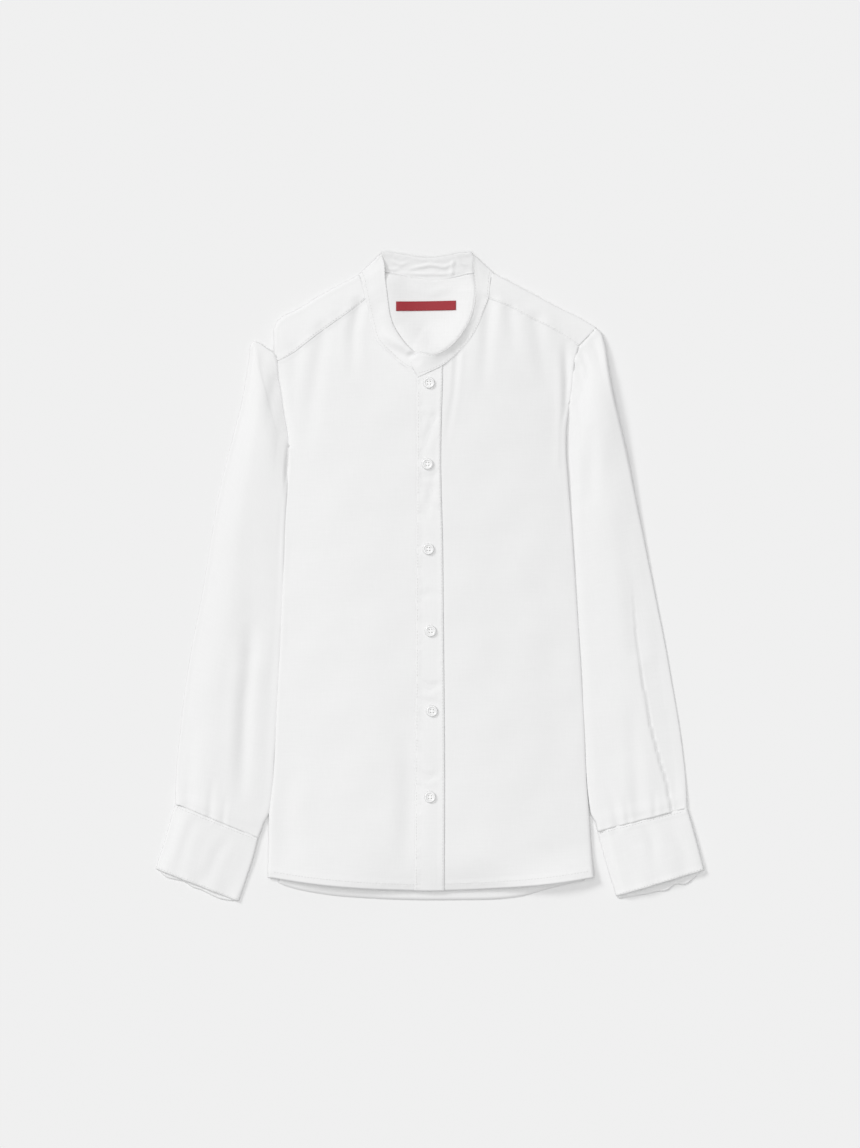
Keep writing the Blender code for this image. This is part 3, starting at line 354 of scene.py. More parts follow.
# The collar band's creases at the back, as ridges, its hollows in front, and the yoke's facing.
BAND_CREASES = creases(
    "middle", (1.8, -1, -22, 277, -13.5, 279, 0, 281.7, 13.5, 279.5, 24, 285),
    (1.8, -0.8, -30, 274.5, -5, 273.5, 14, 273.5, 30, 277), (1.6, -0.7, 19, 270, 20, 278, 21, 287),
    (1.8, -0.9, 24.3, 262.6, 30, 269, 37, 274.6), (1.6, -0.5, -36, 286, -27, 281.5, -18, 284.5),
    (1.5, -0.5, -39, 279, -33, 277.5, -26, 279.5), (1.5, -0.4, -12, 286, 2, 284.8, 14, 286),
    (1.5, -0.5, 24, 289, 28, 283, 34, 281), (1.4, -0.5, -6, 277, 4, 276.2, 12, 278),
)
BAND_HOLLOWS = creases(
    "middle", (6.5, 3.6, -50, 210, -30, 201, -8, 193), (6, 0.8, -46, 250, -48, 236),
    (2.6, 1.4, -21, 197.5, -9, 203.5), (4, 1, 30, 206, 38, 212),
)
INSIDE_CREASES = creases(
    "middle", (4, 0.8, -22, 262, 0, 256, 22, 262), (5, 0.7, -30, 226, -8, 218, 14, 222),
)
# Wrinkles across the placket, as low ridges.
PLACKET_CREASES = creases(
    "middle", (3.4, 0.6, 6.5, 152, 1.5, 136, -7.5, 111), (3.6, 0.5, 4.5, 92, -1, 68, -4, 52),
    (3.4, -0.7, -12, 80, 0, 70, 10, 64), (3, 0.6, -10, 92, 2, 90, 9, 96),
    (3.4, 0.8, -12, -94, 0, -99, 12, -96), (3, -0.6, -12, -106, 4, -108, 12, -112),
    (3.4, 0.8, -13, -176, -2, -181, 8, -178), (3.6, 0.5, -10, 148, 2, 142, 8, 146),
    (3.6, 0.4, -12, -20, 0, -14, 10, -18),
)
# The cloth's overall unevenness, as low waves: their direction, length, height and phase.
WAVES = [
    (8, 97, 0.3, 0.6), (64, 71, 0.22, 2.1), (113, 58, 0.18, 4), (152, 43, 0.12, 5.2),
    (35, 31, 0.07, 1.1), (94, 26, 0.05, 3.3),
]
LABEL_CORNERS = rows(
    Point, (-30.6, 239.9), (23.4, 240.8), (23.4, 249.4), (-30.6, 248.5),
)
BUTTONS = rows(
    Point, (-0.9, 174.6), (-2.3, 101.7), (-1.4, 25.2), (0.5, -48.6), (1.8, -120.6), (0, -198),
)
BUTTON_PROFILE = [      # share of the radius and height over the back
    (0.30, 0.0), (0.84, 0.0), (0.96, 0.45), (1.0, 0.95), (0.97, 1.5), (0.88, 1.85), (0.78, 1.9),
    (0.70, 1.75), (0.62, 1.45), (0.5, 1.3), (0.30, 1.25),
]
LEFT_CUT = FrontCut(1, LEFT_TOP, 7, 3, LEFT_SIDE, UNDERARM_LEFT, ARMHOLE_LEFT)
RIGHT_CUT = FrontCut(-1, RIGHT_TOP, 10, 4, RIGHT_SIDE, UNDERARM_RIGHT, ARMHOLE_RIGHT)
LEFT_ARM = Arm("left", 1, SLEEVE_LEFT, ARMHOLE_LEFT, CUFF_LEFT, CUFF_LEFT_UNDER, GROOVE_LEFT,
               BESIDE_LEFT, OUTER_LEFT, SLEEVE_LOFT)
RIGHT_ARM = Arm("right", -1, SLEEVE_RIGHT, ARMHOLE_RIGHT, CUFF_RIGHT, CUFF_RIGHT_UNDER,
                GROOVE_RIGHT, BESIDE_RIGHT, OUTER_RIGHT, SLEEVE_LOFT_RIGHT)


def mix(start, end, share):
    return start + (end - start) * share


def unit(share):
    return np.clip(share, 0.0, 1.0)


def eased(share):
    """Rises from 0 to 1 and levels off, as cloth does away from a fold."""
    return np.sin(0.5 * np.pi * unit(share))


def mound(away, wide):
    return np.exp(-((away / wide) ** 2))


def smooth(knots, values, at):
    """Values on a smooth curve through the knots, level beyond its two ends."""
    knots, values = np.asarray(knots, float), np.asarray(values, float)
    slopes = np.gradient(values, knots)
    at = np.clip(at, knots[0], knots[-1])
    low = np.clip(np.searchsorted(knots, at, side="right") - 1, 0, len(knots) - 2)
    span = knots[low + 1] - knots[low]
    t = (at - knots[low]) / span
    rise = values[low] * (1 + 2 * t) * (1 - t) ** 2 + values[low + 1] * t * t * (3 - 2 * t)
    return rise + span * t * (1 - t) * (slopes[low] * (1 - t) - slopes[low + 1] * t)


def tracks(knots, table, at):
    """Each column of a table, on a smooth curve over the knots."""
    return [smooth(knots, column, at) for column in zip(*table)]


def track(table, at):
    """A table's other columns, or the one that there is, on smooth curves over its first."""
    found = tracks([row[0] for row in table], [row[1:] for row in table], at)
    return found if len(found) > 1 else found[0]


def run_along(points):
    """Distance along a bent line to each of its corners."""
    return np.concatenate([[0.0], np.cumsum(np.linalg.norm(np.diff(points, axis=0), axis=1))])


def below_line(x, y, start, end):
    """Distance of points below the line from start to end."""
    along_x, along_y = end.x - start.x, end.y - start.y
    cross = along_x * (y - start.y) - along_y * (x - start.x)
    return np.maximum(-cross * np.sign(along_x), 0.0) / math.hypot(along_x, along_y)


def along_path(x, y, path):
    """Distance of points from a bent line, and their share of its length."""
    starts = run_along(path)
    nearest = np.full(np.shape(x), 1e9)
    share = np.zeros(np.shape(x))
    for start, length, (x0, y0), (x1, y1) in zip(starts, np.diff(starts), path, path[1:]):
        t = unit(((x - x0) * (x1 - x0) + (y - y0) * (y1 - y0)) / length**2)
        away = np.hypot(x - mix(x0, x1, t), y - mix(y0, y1, t))
        closer = away < nearest
        nearest = np.where(closer, away, nearest)
        share = np.where(closer, (start + t * length) / starts[-1], share)
    return nearest, share


def crease_depth(x, y, folds):
    """Depth of the creases at points: a soft trough along each, fading out at its weak ends."""
    depth = np.zeros(np.shape(x))
    for crease in folds:
        away, share = along_path(x, y, crease.path)
        if crease.strong == "middle":
            strength = np.sin(np.pi * share) ** 0.7
        else:
            strength = unit(share if crease.strong == "end" else 1 - share) ** 0.8
        away = away / crease.wide
        depth += 0.9 * crease.deep * strength * (mound(away, 1) - 0.35 * mound(away - 1.7, 1))
    return depth


def pleat_step(x, y):
    """Drop of the left sleeve's cloth beyond the fold of its long pleat."""
    path = np.reshape(PLEAT, (-1, 2))
    away, share = along_path(x, y, path)
    beyond = x > track(path[::-1, ::-1], y)
    return PLEAT_DEEP * eased(share * 1.5) * np.exp(-away / 28) * beyond * (share > 0) * (x > 0)


def unevenness(x, y):
    height = np.zeros(np.shape(x))
    for angle, length, high, phase in WAVES:
        turn = math.radians(angle)
        run = x * math.cos(turn) + y * math.sin(turn)
        height += 0.75 * high * np.sin(2 * np.pi * run / length + phase)
    return height


def front_hem(x):
    return HEM_Y + HEM_RISE * unit(np.abs(x) / HALF_HEM) ** 2


def climbing(seam):
    """A seam from its lower end up, as rows of a level and an x."""
    return [(point.y, point.x) for point in reversed(seam)]


def body_height(x, y):
    """Height of the laid body's upper side, with its creases and its settled hem."""
    level = unit((y - HEM_LEVEL) / (CHEST_Y - HEM_LEVEL))
    inside = np.minimum(track(LEFT_SIDE, y) - x, x - track(RIGHT_SIDE, y))
    left_fall = below_line(x, y, NECK_LEFT, TIP_LEFT)
    right_fall = below_line(x, y, SHOULDER_END_RIGHT, NECK_RIGHT)
    from_shoulder = np.where(x > 0, left_fall, right_fall)
    slope = eased(inside / SIDE_SLOPE) * eased(from_shoulder / SHOULDER_SLOPE)
    high = mix(SIDE_HIGH_HEM, SIDE_HIGH, level) + mix(CROWN_HEM, CROWN_CHEST, level) * slope
    high -= SHOULDER_LOW * (1 - eased(from_shoulder / SHOULDER_FADE)) * eased((y - SHOULDER_Y) / 30)
    high += (unevenness(x, y) - crease_depth(x, y, FRONT_CREASES)) * unit(inside / TAUT)
    high -= SUNK * mound(np.hypot(x - SUNK_AT.x, (y - SUNK_AT.y) / 1.4), SUNK_WIDE)
    for arm in (LEFT_ARM, RIGHT_ARM):
        away = np.abs(x - track(climbing(arm.armhole), y))
        beside = y > arm.armhole[-1].y - 12
        high -= track(arm.groove, y) * np.exp(-away / GROOVE_WIDE) * beside
    return mix(high, track(HEM_LOFT, x), 1 - eased((y - front_hem(x)) / HEM_FADE))


def lap_drop(x):
    """How far the right front lies under the common level: least where the placket's edge rests."""
    under = LAP_EDGE + (LAP - LAP_EDGE) * eased((x - LAP_START_X) / 5)
    return under * (1 - eased((LAP_START_X - x) / LAP_FADE))


def build_cloth(name, grids, cloth, thick, inside_out=False):
    """Welds grids of points into one piece of cloth, given by its outer side, and gives it a wall.

    The thread attribute holds each point's place along the two threads and its distance from
    the nearest seam, in millimetres.
    """
    bm = bmesh.new()
    thread = bm.verts.layers.float_vector.new("thread")
    for columns, lines, place in grids:
        grid = bmesh.ops.create_grid(bm, x_segments=columns, y_segments=lines, size=0.5)["verts"]
        u = np.array([vertex.co.x + 0.5 for vertex in grid])
        v = np.array([vertex.co.y + 0.5 for vertex in grid])
        for vertex, x, y, z, across, along, stitch in zip(grid, *place(u, v)):
            vertex.co = (x * MM, y * MM, z * MM)
            vertex[thread] = (across, along, stitch)
    bmesh.ops.remove_doubles(bm, verts=bm.verts, dist=0.02 * MM)
    if inside_out:
        bmesh.ops.reverse_faces(bm, faces=bm.faces)
    piece = keep(bm, name, cloth, sharp=150)
    wall = piece.modifiers.new("Wall", "SOLIDIFY")
    wall.thickness = thick * MM
    wall.offset = -1.0
    wall.use_even_offset = False
    return piece


def keep(bm, name, finish, sharp=60):
    """Makes the finished shape an object that rides the shirt's one body."""
    piece = place_mesh(bm, name, finish)
    piece.data.shade_smooth()
    piece.data.set_sharp_from_angle(angle=math.radians(sharp))
    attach(piece, "root")
    return piece


def place_mesh(bm, name, finish):
    mesh = bpy.data.meshes.new(name)
    bm.to_mesh(mesh)
    bm.free()
    mesh.materials.append(finish)
    return put(name, mesh)


def put(name, data):
    """Puts a mesh, lamp or camera into the scene."""
    thing = bpy.data.objects.new(name, data)
    bpy.context.scene.collection.objects.link(thing)
    return thing


# Fronts and placket

def top_edge(cut, column):
    """The neck seam and then the yoke seam, with a corner between the two."""
    order = np.arange(len(cut.top))
    neck, yoke = [tracks(order[part], cut.top[part], column)
                  for part in (slice(0, cut.corner + 1), slice(cut.corner, len(order)))]
    return [np.where(column > cut.corner, *pair) for pair in zip(yoke, neck)]


def fold_reach(cut, y):
    """How far the side fold bows out past the flat cloth; it closes towards the underarm."""
    return FOLD_HIGH / 2 * mix(0.2, 1.0, eased((cut.underarm.y - y) / 16))


def tucked_edge(cut, column):
    """The top edge moved out square to itself by the seam allowance."""
    x, y = top_edge(cut, column)
    last = len(cut.top) - 1
    ahead, behind = [top_edge(cut, np.clip(column + step, 0, last)) for step in (0.2, -0.2)]
    run_x, run_y = np.subtract(ahead, behind)
    out = cut.sign * TUCK / np.hypot(run_x, run_y)
    return x - run_y * out, y + run_x * out


def panel_x(cut, column, y):
    first, last = track(PLACKET_EDGE, y), track(PLACKET_FOLD, y)
    start, stop = (first, last) if cut.sign > 0 else (last - 0.3, first - 3)
    lap = cut.laps - 1
    edge = track(cut.side, y) - cut.sign * fold_reach(cut, y)
    out = unit((column - lap) / (len(cut.top) - 1 - lap))
    return np.where(column < lap, mix(start, stop, column / lap), mix(stop, edge, out))


def front_level(cut, x, y):
    """Height of a front: the common one, lower where the right front runs under the placket."""
    if cut.sign < 0:
        return body_height(x, y) - lap_drop(x)
    return body_height(x, y) - 0.15 * (1 - eased((x - track(PLACKET_FOLD, y) + 0.5) / 3))


def lower_front(cut):
    """From the hem to the underarm's level, and round the side fold to the side seam."""
    def place(u, v):
        column = unit(u / FLAT_SHARE) * (len(cut.top) - 1)
        hem = front_hem(panel_x(cut, column, HEM_Y))
        y = mix(hem, cut.underarm.y, v)
        x = panel_x(cut, column, y)
        z = front_level(cut, x, y)
        turn = unit((u - FLAT_SHARE) / TURN_SHARE) * np.pi
        flap = unit((u - FLAT_SHARE - TURN_SHARE) / (1 - FLAT_SHARE - TURN_SHARE))
        radius = fold_reach(cut, y)
        # Underneath, the hem follows the back's.
        low_hem = track(BACK_HEM, x + cut.sign * (radius - flap * SIDE_SEAM_IN))
        y = y + (low_hem - hem) * eased(turn / np.pi * 2 - 1) * (1 - v)
        x = x + cut.sign * (radius * np.sin(turn) - flap * SIDE_SEAM_IN)
        clear = SIDE_CLEAR * eased((y - BESIDE_ENDS) / 60) * unit(1 - 1.6 * flap)
        z = clear + (z - clear) / 2 * (1 + np.cos(turn))
        return Spots(x, y, z, x + cut.sign * turn * radius, y, np.abs(y - hem - HEM_WIDE))

    return place


def upper_front(cut):
    """From the underarm's level up to the neck, yoke and armhole seams."""
    last = len(cut.top) - 1
    base, corner = cut.underarm.y, cut.top[-1]
    seam = [(base, cut.underarm.x)] + climbing(cut.armhole)

    def place(u, v):
        column = u * last
        x1, y1 = tucked_edge(cut, column)
        y = mix(base, y1, v)
        x = mix(panel_x(cut, column, base), x1, v)
        low_edge = panel_x(cut, np.full(np.shape(u), float(last)), base)
        edge = mix(low_edge, corner.x, (y - base) / (corner.y - base))
        pull = unit((column - last + 3) / 3) ** 2 * eased((y - base) / 4)
        x = x + pull * (track(seam, y) - edge)
        to_top = (1 - v) * (y1 - base) - TUCK
        tuck = np.where(column < cut.corner, 0.4 if cut.sign > 0 else 0.15, 0.15)
        z = front_level(cut, x, y) - tuck * eased(1 - (to_top + TUCK) / 3)
        return Spots(x, y, z, x, y, np.minimum(to_top, np.abs(track(seam, y) - x)))

    return place


def front_panel(name, cut, cloth):
    tall = abs(HEM_Y) + cut.underarm.y
    # The flat columns of both grids meet point for point at the underarm's level.
    flat, columns = ((84, 100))
    grids = [(columns, round(tall / CELL), lower_front(cut)),
             (flat, round(100 / CELL), upper_front(cut))]
    piece = build_cloth(name, grids, cloth, CLOTH, inside_out=cut.sign < 0)
    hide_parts(name)


def placket_place(u, v):
    """The doubled strip down the left front's edge, which stands a little over that front."""
    _, y_top = top_edge(LEFT_CUT, u * 2)
    hem = front_hem(mix(PLACKET_EDGE[0][1], PLACKET_FOLD[0][1], u))
    y = mix(hem - 0.3, y_top, v)
    even = mix(track(PLACKET_EDGE, y), track(PLACKET_FOLD, y), u)
    # Its rows run even across it, but up to the neck seam's own points near the top.
    at_neck = mix(PLACKET_EDGE[-1][1], PLACKET_FOLD[-1][1], u)
    x = mix(even, at_neck, unit((y - CHEST_Y) / (y_top - CHEST_Y)))
    across = u * PLACKET_WIDE
    to_edge = np.minimum(across, PLACKET_WIDE - across)
    lift = mix(PLACKET_LOW, PLACKET_HIGH, eased(across / PLACKET_WIDE)) - 0.3 * mound(to_edge, 0.8)
    puckered = np.sin(y / 3.1) * np.sin(y / 17 + 1) > 0.35
    z = body_height(x, y) + lift - crease_depth(x, y, PLACKET_CREASES)
    z = z - 0.5 * mound(across - 3, 1.8) * puckered
    return Spots(x, y, z, across, y, np.abs(to_edge - TOPSTITCH))


def make_placket(cloth):
    grid = (round(26 / (CELL * 0.7)), round(470 / CELL), placket_place)
    piece = build_cloth("placket", [grid], cloth, PLACKET_WALL)
    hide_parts("placket")


# Back and yoke

def back_place(u, v):
    """The back on the surface, out to the side seams below the arms and to the armholes above."""
    x_hem = mix(-138, 138, u)
    low = track(BACK_HEM, x_hem)
    y = mix(low, BACK_SEAM_Y, v)
    wide = unit((y - 100) / 60)
    seam_in = mix(SIDE_SEAM_IN - 5, 0.4, wide)
    left, right = track(LEFT_SIDE, y) - seam_in, track(RIGHT_SIDE, y) + seam_in
    x = mix(right, left, u)
    # Its edges lie on the fronts' where they are sewn together.
    sewn = unit(2.4 - np.minimum(x - right, left - x) / 4) * (1 - wide)
    return Spots(x, y, (CLOTH + 0.05) * sewn, x_hem, y, np.abs(y - low - HEM_WIDE))


def make_back(cloth):
    piece = build_cloth("back", [(round(270 / 4), round(460 / 3), back_place)], cloth, CLOTH, True)
    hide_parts("back")


def ray_track(rays, column):
    return tracks(np.arange(len(rays)), rays, column)


def inward(rays, column, armhole_end):
    """Unit direction in from the shoulder fold, square to it but for the armhole's column."""
    last = len(rays) - 1
    here, ahead, behind = [np.array(ray_track(rays, np.clip(column + step, 0, last)))
                           for step in (0, 0.5, -0.5)]
    run_x, run_y = (ahead - behind)[:2]
    square = np.array([run_y, -run_x])
    facing = np.where((square * (here[2:4] - here[:2])).sum(axis=0) < 0, -1, 1)
    end = np.subtract(armhole_end, rays[-1][:2])[:, None]
    into = mix(square * facing / np.hypot(*square), end / np.hypot(*end), unit(column - last + 1))
    return into / np.hypot(*into)


def wing(rays, tip):
    """The yoke's front part, from below the shoulder fold up over it to the yoke seam."""
    def place(u, v):
        column = u * (len(rays) - 1)
        ray = np.array(ray_track(rays, column))
        fold, seam = ray[:2], ray[2:4]
        into = inward(rays, column, tip) * FOLD_HIGH / 2
        turn = unit(v / 0.4) * np.pi - np.pi / 2
        flat = unit((v - 0.4) / 0.6)
        x, y = mix(fold + into * (1 - np.cos(turn)), seam, flat)
        rising = body_height(*(fold + into)) / 2 * (1 + np.sin(turn))
        to_seam = (1 - flat) * np.hypot(*(seam - fold - into))
        z = np.where(flat > 0, body_height(x, y), rising)
        z = z + 0.08 * unit(flat * 4) - 0.15 * mound(to_seam, 0.8)
        return Spots(x, y, z, x, y, np.where(flat > 0, np.abs(to_seam - TOPSTITCH), NO_SEAM))

    return place


def yoke_columns():
    """Feet and heads of the yoke's part that lies on the surface, from the right armhole over."""
    feet, heads = [], []
    for rays, tip, order in ((YOKE_RIGHT, ARMHOLE_RIGHT[0], -1), (YOKE_LEFT, ARMHOLE_LEFT[0], 1)):
        columns = inward(rays, np.arange(len(rays))[::order], tip).T
        for ray, into in zip(rays[::order], columns):
            feet.append((ray.back_x, BACK_SEAM_Y))
            heads.append(ray[:2] + into * FOLD_HIGH / 2)
        if order < 0:
            for x, y, foot_x in reversed(BACK_NECK):
                feet.append((foot_x, BACK_SEAM_Y))
                heads.append((x, y))
    return np.array(feet), np.array(heads)


def inside_height(x, y):
    """Height of the yoke's facing inside the neck, which rises towards the band's free edge."""
    ring = [row for row in COLLAR if row.layer == "top" and row.x < 0]
    ring += [row for row in COLLAR if row.layer == "lap" or (row.layer == "top" and row.x > 0)]
    edge = np.array([(row.edge_x, row.edge_y) for row in ring])
    away, share = along_path(x, y, edge)
    run = run_along(edge)
    high = smooth(run / run[-1], [row.high - 0.8 for row in ring], share)
    high = high * mix(1.0, 0.65, eased((x + 12) / 36))
    # Away from the band it lies almost flat, with a low swell at the middle and at the back.
    loft = 1.2 * np.exp(-(((x + 6) / 40) ** 2) - ((y - 226) / 30) ** 2)
    loft = loft + 0.3 * mound(y - NECK_BACK_Y, 12)
    back = NECK_BACK_Y + 7 * eased((-18 - x) / 12)
    loft = mix(loft, high, mound(away, 17) * eased((back - y) / 14))
    return loft + np.maximum(crease_depth(x, y, INSIDE_CREASES), 0)


def under_yoke(u, v):
    feet, heads = yoke_columns()
    order = np.arange(len(feet))
    foot, head = [np.array([np.interp(u * order[-1], order, axis) for axis in ends.T])
                  for ends in (feet, heads)]
    x, y = mix(foot, head, v)
    return Spots(x, y, inside_height(x, y), x, y, np.full(np.shape(u), NO_SEAM))


def make_yoke(cloth, facing):
    grid = (round(300 / (CELL * 1.3)), round(100 / (CELL * 1.3)), under_yoke)
    # Its inner side takes the darker linen, painted shade inside the neck.
    flat = build_cloth("yoke", [grid], facing, CLOTH, inside_out=True)
    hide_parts("yoke")
    for name, rays, tip, flip in (("yoke_left_front", YOKE_LEFT, ARMHOLE_LEFT[0], True),
                                  ("yoke_right_front", YOKE_RIGHT, ARMHOLE_RIGHT[0], False)):
        grid = (round(110 / CELL), round(36 / CELL) * 2, wing(rays, tip))
        piece = build_cloth(name, [grid], cloth, CLOTH, inside_out=flip)
        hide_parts("yoke")


# Collar band

def band_tracks():
    """For each row of the band: seam point, free edge point, its height, roll, how much of the
    front's height its seam takes, how far it lies over that, and how much of the lap's drop."""
    on_front = {"lap": 1, "top": 1, "low": 1, "fold": 0.5, "under": 0}
    lift = {"lap": 0.9, "top": 0.2, "low": -0.1, "fold": 0.2, "under": 0.3}
    found = []
    for row in COLLAR:
        lapped = row.layer in ("top", "low") and row.x < 12
        lifted = lift[row.layer] if found else LAP_END_LIFT
        found.append((*row[1:], on_front[row.layer], lifted, lapped))
    return np.array(found, float)


def make_collar(cloth):
    table = band_tracks()
    lengths = np.linalg.norm(np.diff(table[:, 0:2] + table[:, 2:4], axis=0), axis=1) / 2
    run = np.concatenate([[0.0], np.cumsum(np.maximum(lengths, 2))])

    def place(u, v):
        at = u * run[-1]
        fields = np.array(tracks(run, table, at))
        seam, edge, (high, roll, on_front, lift, lapped) = fields[:2], fields[2:4], fields[4:]
        z0 = on_front * body_height(*seam) + lift - lapped * lap_drop(seam[0])
        wide = np.hypot(*(edge - seam))
        tuck = 1.2 / np.maximum(wide, 4)
        share = v * (1 + tuck) - tuck
        over = unit(share)
        lying = unit(1 - on_front * 2)
        arch = np.sin(np.pi * over)
        # Level beside the seam, then steeper up to the free edge.
        flat = mix(1 - (1 - over) ** 1.5, over, lying) + np.minimum(share, 0)
        x, y = mix(seam, edge, flat)
        # The free end's corner rounds out past the placket's edge.
        x = x - BAND_END * arch * unit(1 - at / 16) ** 1.5
        z = mix(z0, high, mix(over**1.6, over, lying)) + roll * arch
        z = z - (1 - lying) * crease_depth(x, y, BAND_HOLLOWS) * arch**0.5
        z = z + lying * np.maximum(-1.6 * crease_depth(x, y, BAND_CREASES), 0)
        near = np.minimum(np.abs((1 - v) * wide - TOPSTITCH), v * wide)
        return Spots(x, y, z, at, v * BAND_WIDE, near)

    grid = (round(run[-1] / CELL * 1.3), round(20 / CELL * 1.6), place)
    piece = build_cloth("collar_band", [grid], cloth, COLLAR_WALL)
    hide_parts("collar_band")
    return place


# Sleeves and cuffs

def run_of(stations):
    return run_along([((row.outer_x + row.inner_x) / 2, (row.outer_y + row.inner_y) / 2)
                      for row in stations])


def tube(stations, run, at, u, bow, straight_start):
    """Points of a flattened tube, their share from the outer fold to the inner, and where on it."""
    here, ahead, behind = [np.array(tracks(run, stations, np.clip(at + step, 0, run[-1])))
                           for step in (0, 4, -4)]
    outer, inner, (edge, crown) = here[:2], here[2:4], here[4:]
    across = outer - inner
    wide = np.hypot(*across)
    across = across / wide
    directions = []
    for side, sense in ((0, 1), (2, -1)):
        run_x, run_y = (ahead - behind)[side:side + 2]
        square = np.array([run_y, -run_x]) / np.maximum(np.hypot(run_x, run_y), 1e-6)
        facing = np.where((square * across).sum(axis=0) < 0, -sense, sense)
        directions.append(mix(square * facing, sense * across, unit(1 - at / straight_start)))
    out, back = directions
    first, second, third = SECTION
    turn_out = unit(u / first) * np.pi - np.pi / 2
    turn_in = np.pi / 2 - unit((u - second) / (third - second)) * np.pi
    below = unit((u - third) / (1 - third))
    share = np.where(u <= third, unit((u - first) / (second - first)), 1 - below)
    round_out = np.where(u < first, bow * np.cos(turn_out), 0.0)
    round_in = np.where((u > second) & (u < third), bow * np.cos(turn_in), 0.0)
    spot = mix(outer - out * bow, inner - back * bow, share) + out * round_out + back * round_in
    rising = edge / 2 * (1 + np.sin(np.where(u < second, turn_out, turn_in)))
    upper = (u >= first) & (u <= second)
    z = np.where(upper, edge + crown * np.sin(np.pi * share), rising)
    return spot, np.where(u >= third, 0.0, z), share, wide, upper


def off_folds(upper, share, wide):
    """1 on the upper side and 0 at its folds and underneath, where no crease shows."""
    return np.where(upper, unit(np.minimum(share, 1 - share) * wide / 7), 0.0)


def sleeve_place(arm):
    stations, sign = arm.sleeve, arm.sign
    run = run_of(stations)
    tip, underarm = np.array(stations[0][:2]), np.array(stations[0][2:4])
    # The head's seam, by its share of the way from the shoulder tip to the underarm.
    seam = [(0, *tip)]
    for point in arm.armhole:
        seam.append((1 - math.dist(point, underarm) / math.dist(tip, underarm), *point))
    seam.append((1, *underarm))

    def place(u, v):
        at = v * run[-1]
        spot, z, share, wide, upper = tube(stations, run, at, u, FOLD_OUT, run[2])
        outer_loft, inner_loft = track(arm.loft, at)
        lean = LEAN * sign * eased((at - LEAN_FROM) / LEAN_FROM)
        loft = mix(outer_loft - lean, inner_loft + lean, share)
        z = z * loft
        # Its head is cut to the armhole's curve and meets the body's height.
        head = unit(1 - np.interp(at, run, np.arange(len(run))) / HEAD_STATIONS) ** 2
        curve = np.array(track(seam, share))
        x, y = spot + head * (curve - mix(tip[:, None], underarm[:, None], share))
        deep = track(arm.groove, curve[1])
        rise = body_height(*curve) + deep - stations[0].edge * loft
        z = z + np.where(upper, head * rise * unit(np.sin(np.pi * share) * 3), 0.0)
        loose = off_folds(upper, share, wide)
        z = z + loose * (0.7 * unevenness(x + 40, y) - crease_depth(x, y, SLEEVE_CREASES))
        z = z - loose * pleat_step(x, y)
        z = z - np.where(upper, deep * np.exp(-at / SEAM_DIP), 0.0)
        ends = unit(1 - at / 3)
        z = z - np.where(u < SECTION[2], ends * 0.3, 0.0)
        x = x - sign * ends * SEAM_TUCK
        # The inner fold lies against the body's side.
        inner_y = smooth(run, [row.inner_y for row in stations], at)
        beside = eased(at / 6) * eased((inner_y - BESIDE_ENDS) / (9 if sign > 0 else 15))
        reach, keeps, dip = track(arm.beside, inner_y)
        x = x - sign * reach * beside * unit(share * 6 - 5)
        z = z * mix(1.0, keeps, beside * unit(1 - (1 - share) * wide / dip) ** 1.5)
        # The outer fold flattens, and the whole sleeve falls towards it.
        low = mix(1.0, track(arm.outer, at), eased((run[-1] - at) / 40))
        z = z * mix(1.0, mix(low, 1.0, eased(share * wide / SIDE_ROLL)), 1 - head)
        # The pleats puff up before they are caught in the cuff.
        to_cuff = run[-1] - at
        puff = loose * mound(to_cuff - 9, 6)
        z = np.where(u < SECTION[2], z - unit(1 - to_cuff / 4) * 0.1 + PUFF * puff, z)
        # Underneath, it stays on the surface, and clears the cloth at the armhole.
        z = np.maximum(z, CLOTH * np.where(u < SECTION[2], 1.0, unit(2 - at / 8)))
        return Spots(x, y, z, share * wide, at, np.minimum(at, to_cuff))

    return place, run[-1]


def make_sleeve(arm, cloth):
    place, length = sleeve_place(arm)
    name = "sleeve_" + arm.name
    grid = (ROUND * round(12.5 / CELL), round(length / CELL), place)
    piece = build_cloth(name, [grid], cloth, CLOTH, inside_out=arm.sign < 0)
    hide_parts(name, name + "_under")


def cuff_place(arm):
    stations, sign = arm.cuff, arm.sign
    run = run_of(stations)
    way = np.subtract(stations[-1], stations[0])
    along = (way[:2] + way[2:4])[:, None]
    along = along / np.hypot(*along)

    def place(u, v):
        at = mix(-CUFF_TUCK, run[-1], v)
        spot, z, share, wide, upper = tube(stations, run, np.maximum(at, 0), u, CUFF_FOLD_OUT, 6)
        reach = smooth(np.linspace(0, 1, len(arm.cuff_under)), arm.cuff_under, share)
        below = np.where(u >= SECTION[2], 1.0, unit(1 - z / 2))
        x, y = spot + along * (np.minimum(at, 0) + below * reach * unit(v * 1.6 - 0.6))
        loose = off_folds(upper, share, wide)
        z = z + loose * (0.6 * unevenness(x - 25, y) - 0.45 * crease_depth(x, y, SLEEVE_CREASES))
        # It dips under the sleeve's end, and its side towards the light lies flatter.
        tucked = mix(0.85, 0.4, share) if sign > 0 else mix(0.3, 0.15, share)
        z = z - np.where(upper, tucked * mound(at + CUFF_TUCK, 3), 0.0)
        z = z * (1 + CUFF_LEAN * sign * (2 * share - 1))
        from_side = (1 - share if sign > 0 else share) * wide
        z = z * mix(0.5, 1.0, eased(from_side / (8 if sign > 0 else 14)))
        lip = np.where(upper, np.sin(share * 19 + 1) * 0.5 * unit(v * 3 - 2), 0.0)
        near = np.minimum(np.abs(at - TOPSTITCH), np.abs(run[-1] - at - TOPSTITCH))
        return Spots(x, y, np.maximum(z + lip, 0), share * wide, at, near)

    return place, run[-1]


def make_cuff(arm, cloth):
    place, length = cuff_place(arm)
    name = "cuff_" + arm.name
    grid = (ROUND * round(12 / CELL), round(length / CELL * 1.2), place)
    piece = build_cloth(name, [grid], cloth, DOUBLE, inside_out=arm.sign < 0)
    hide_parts(name)
    return place, length


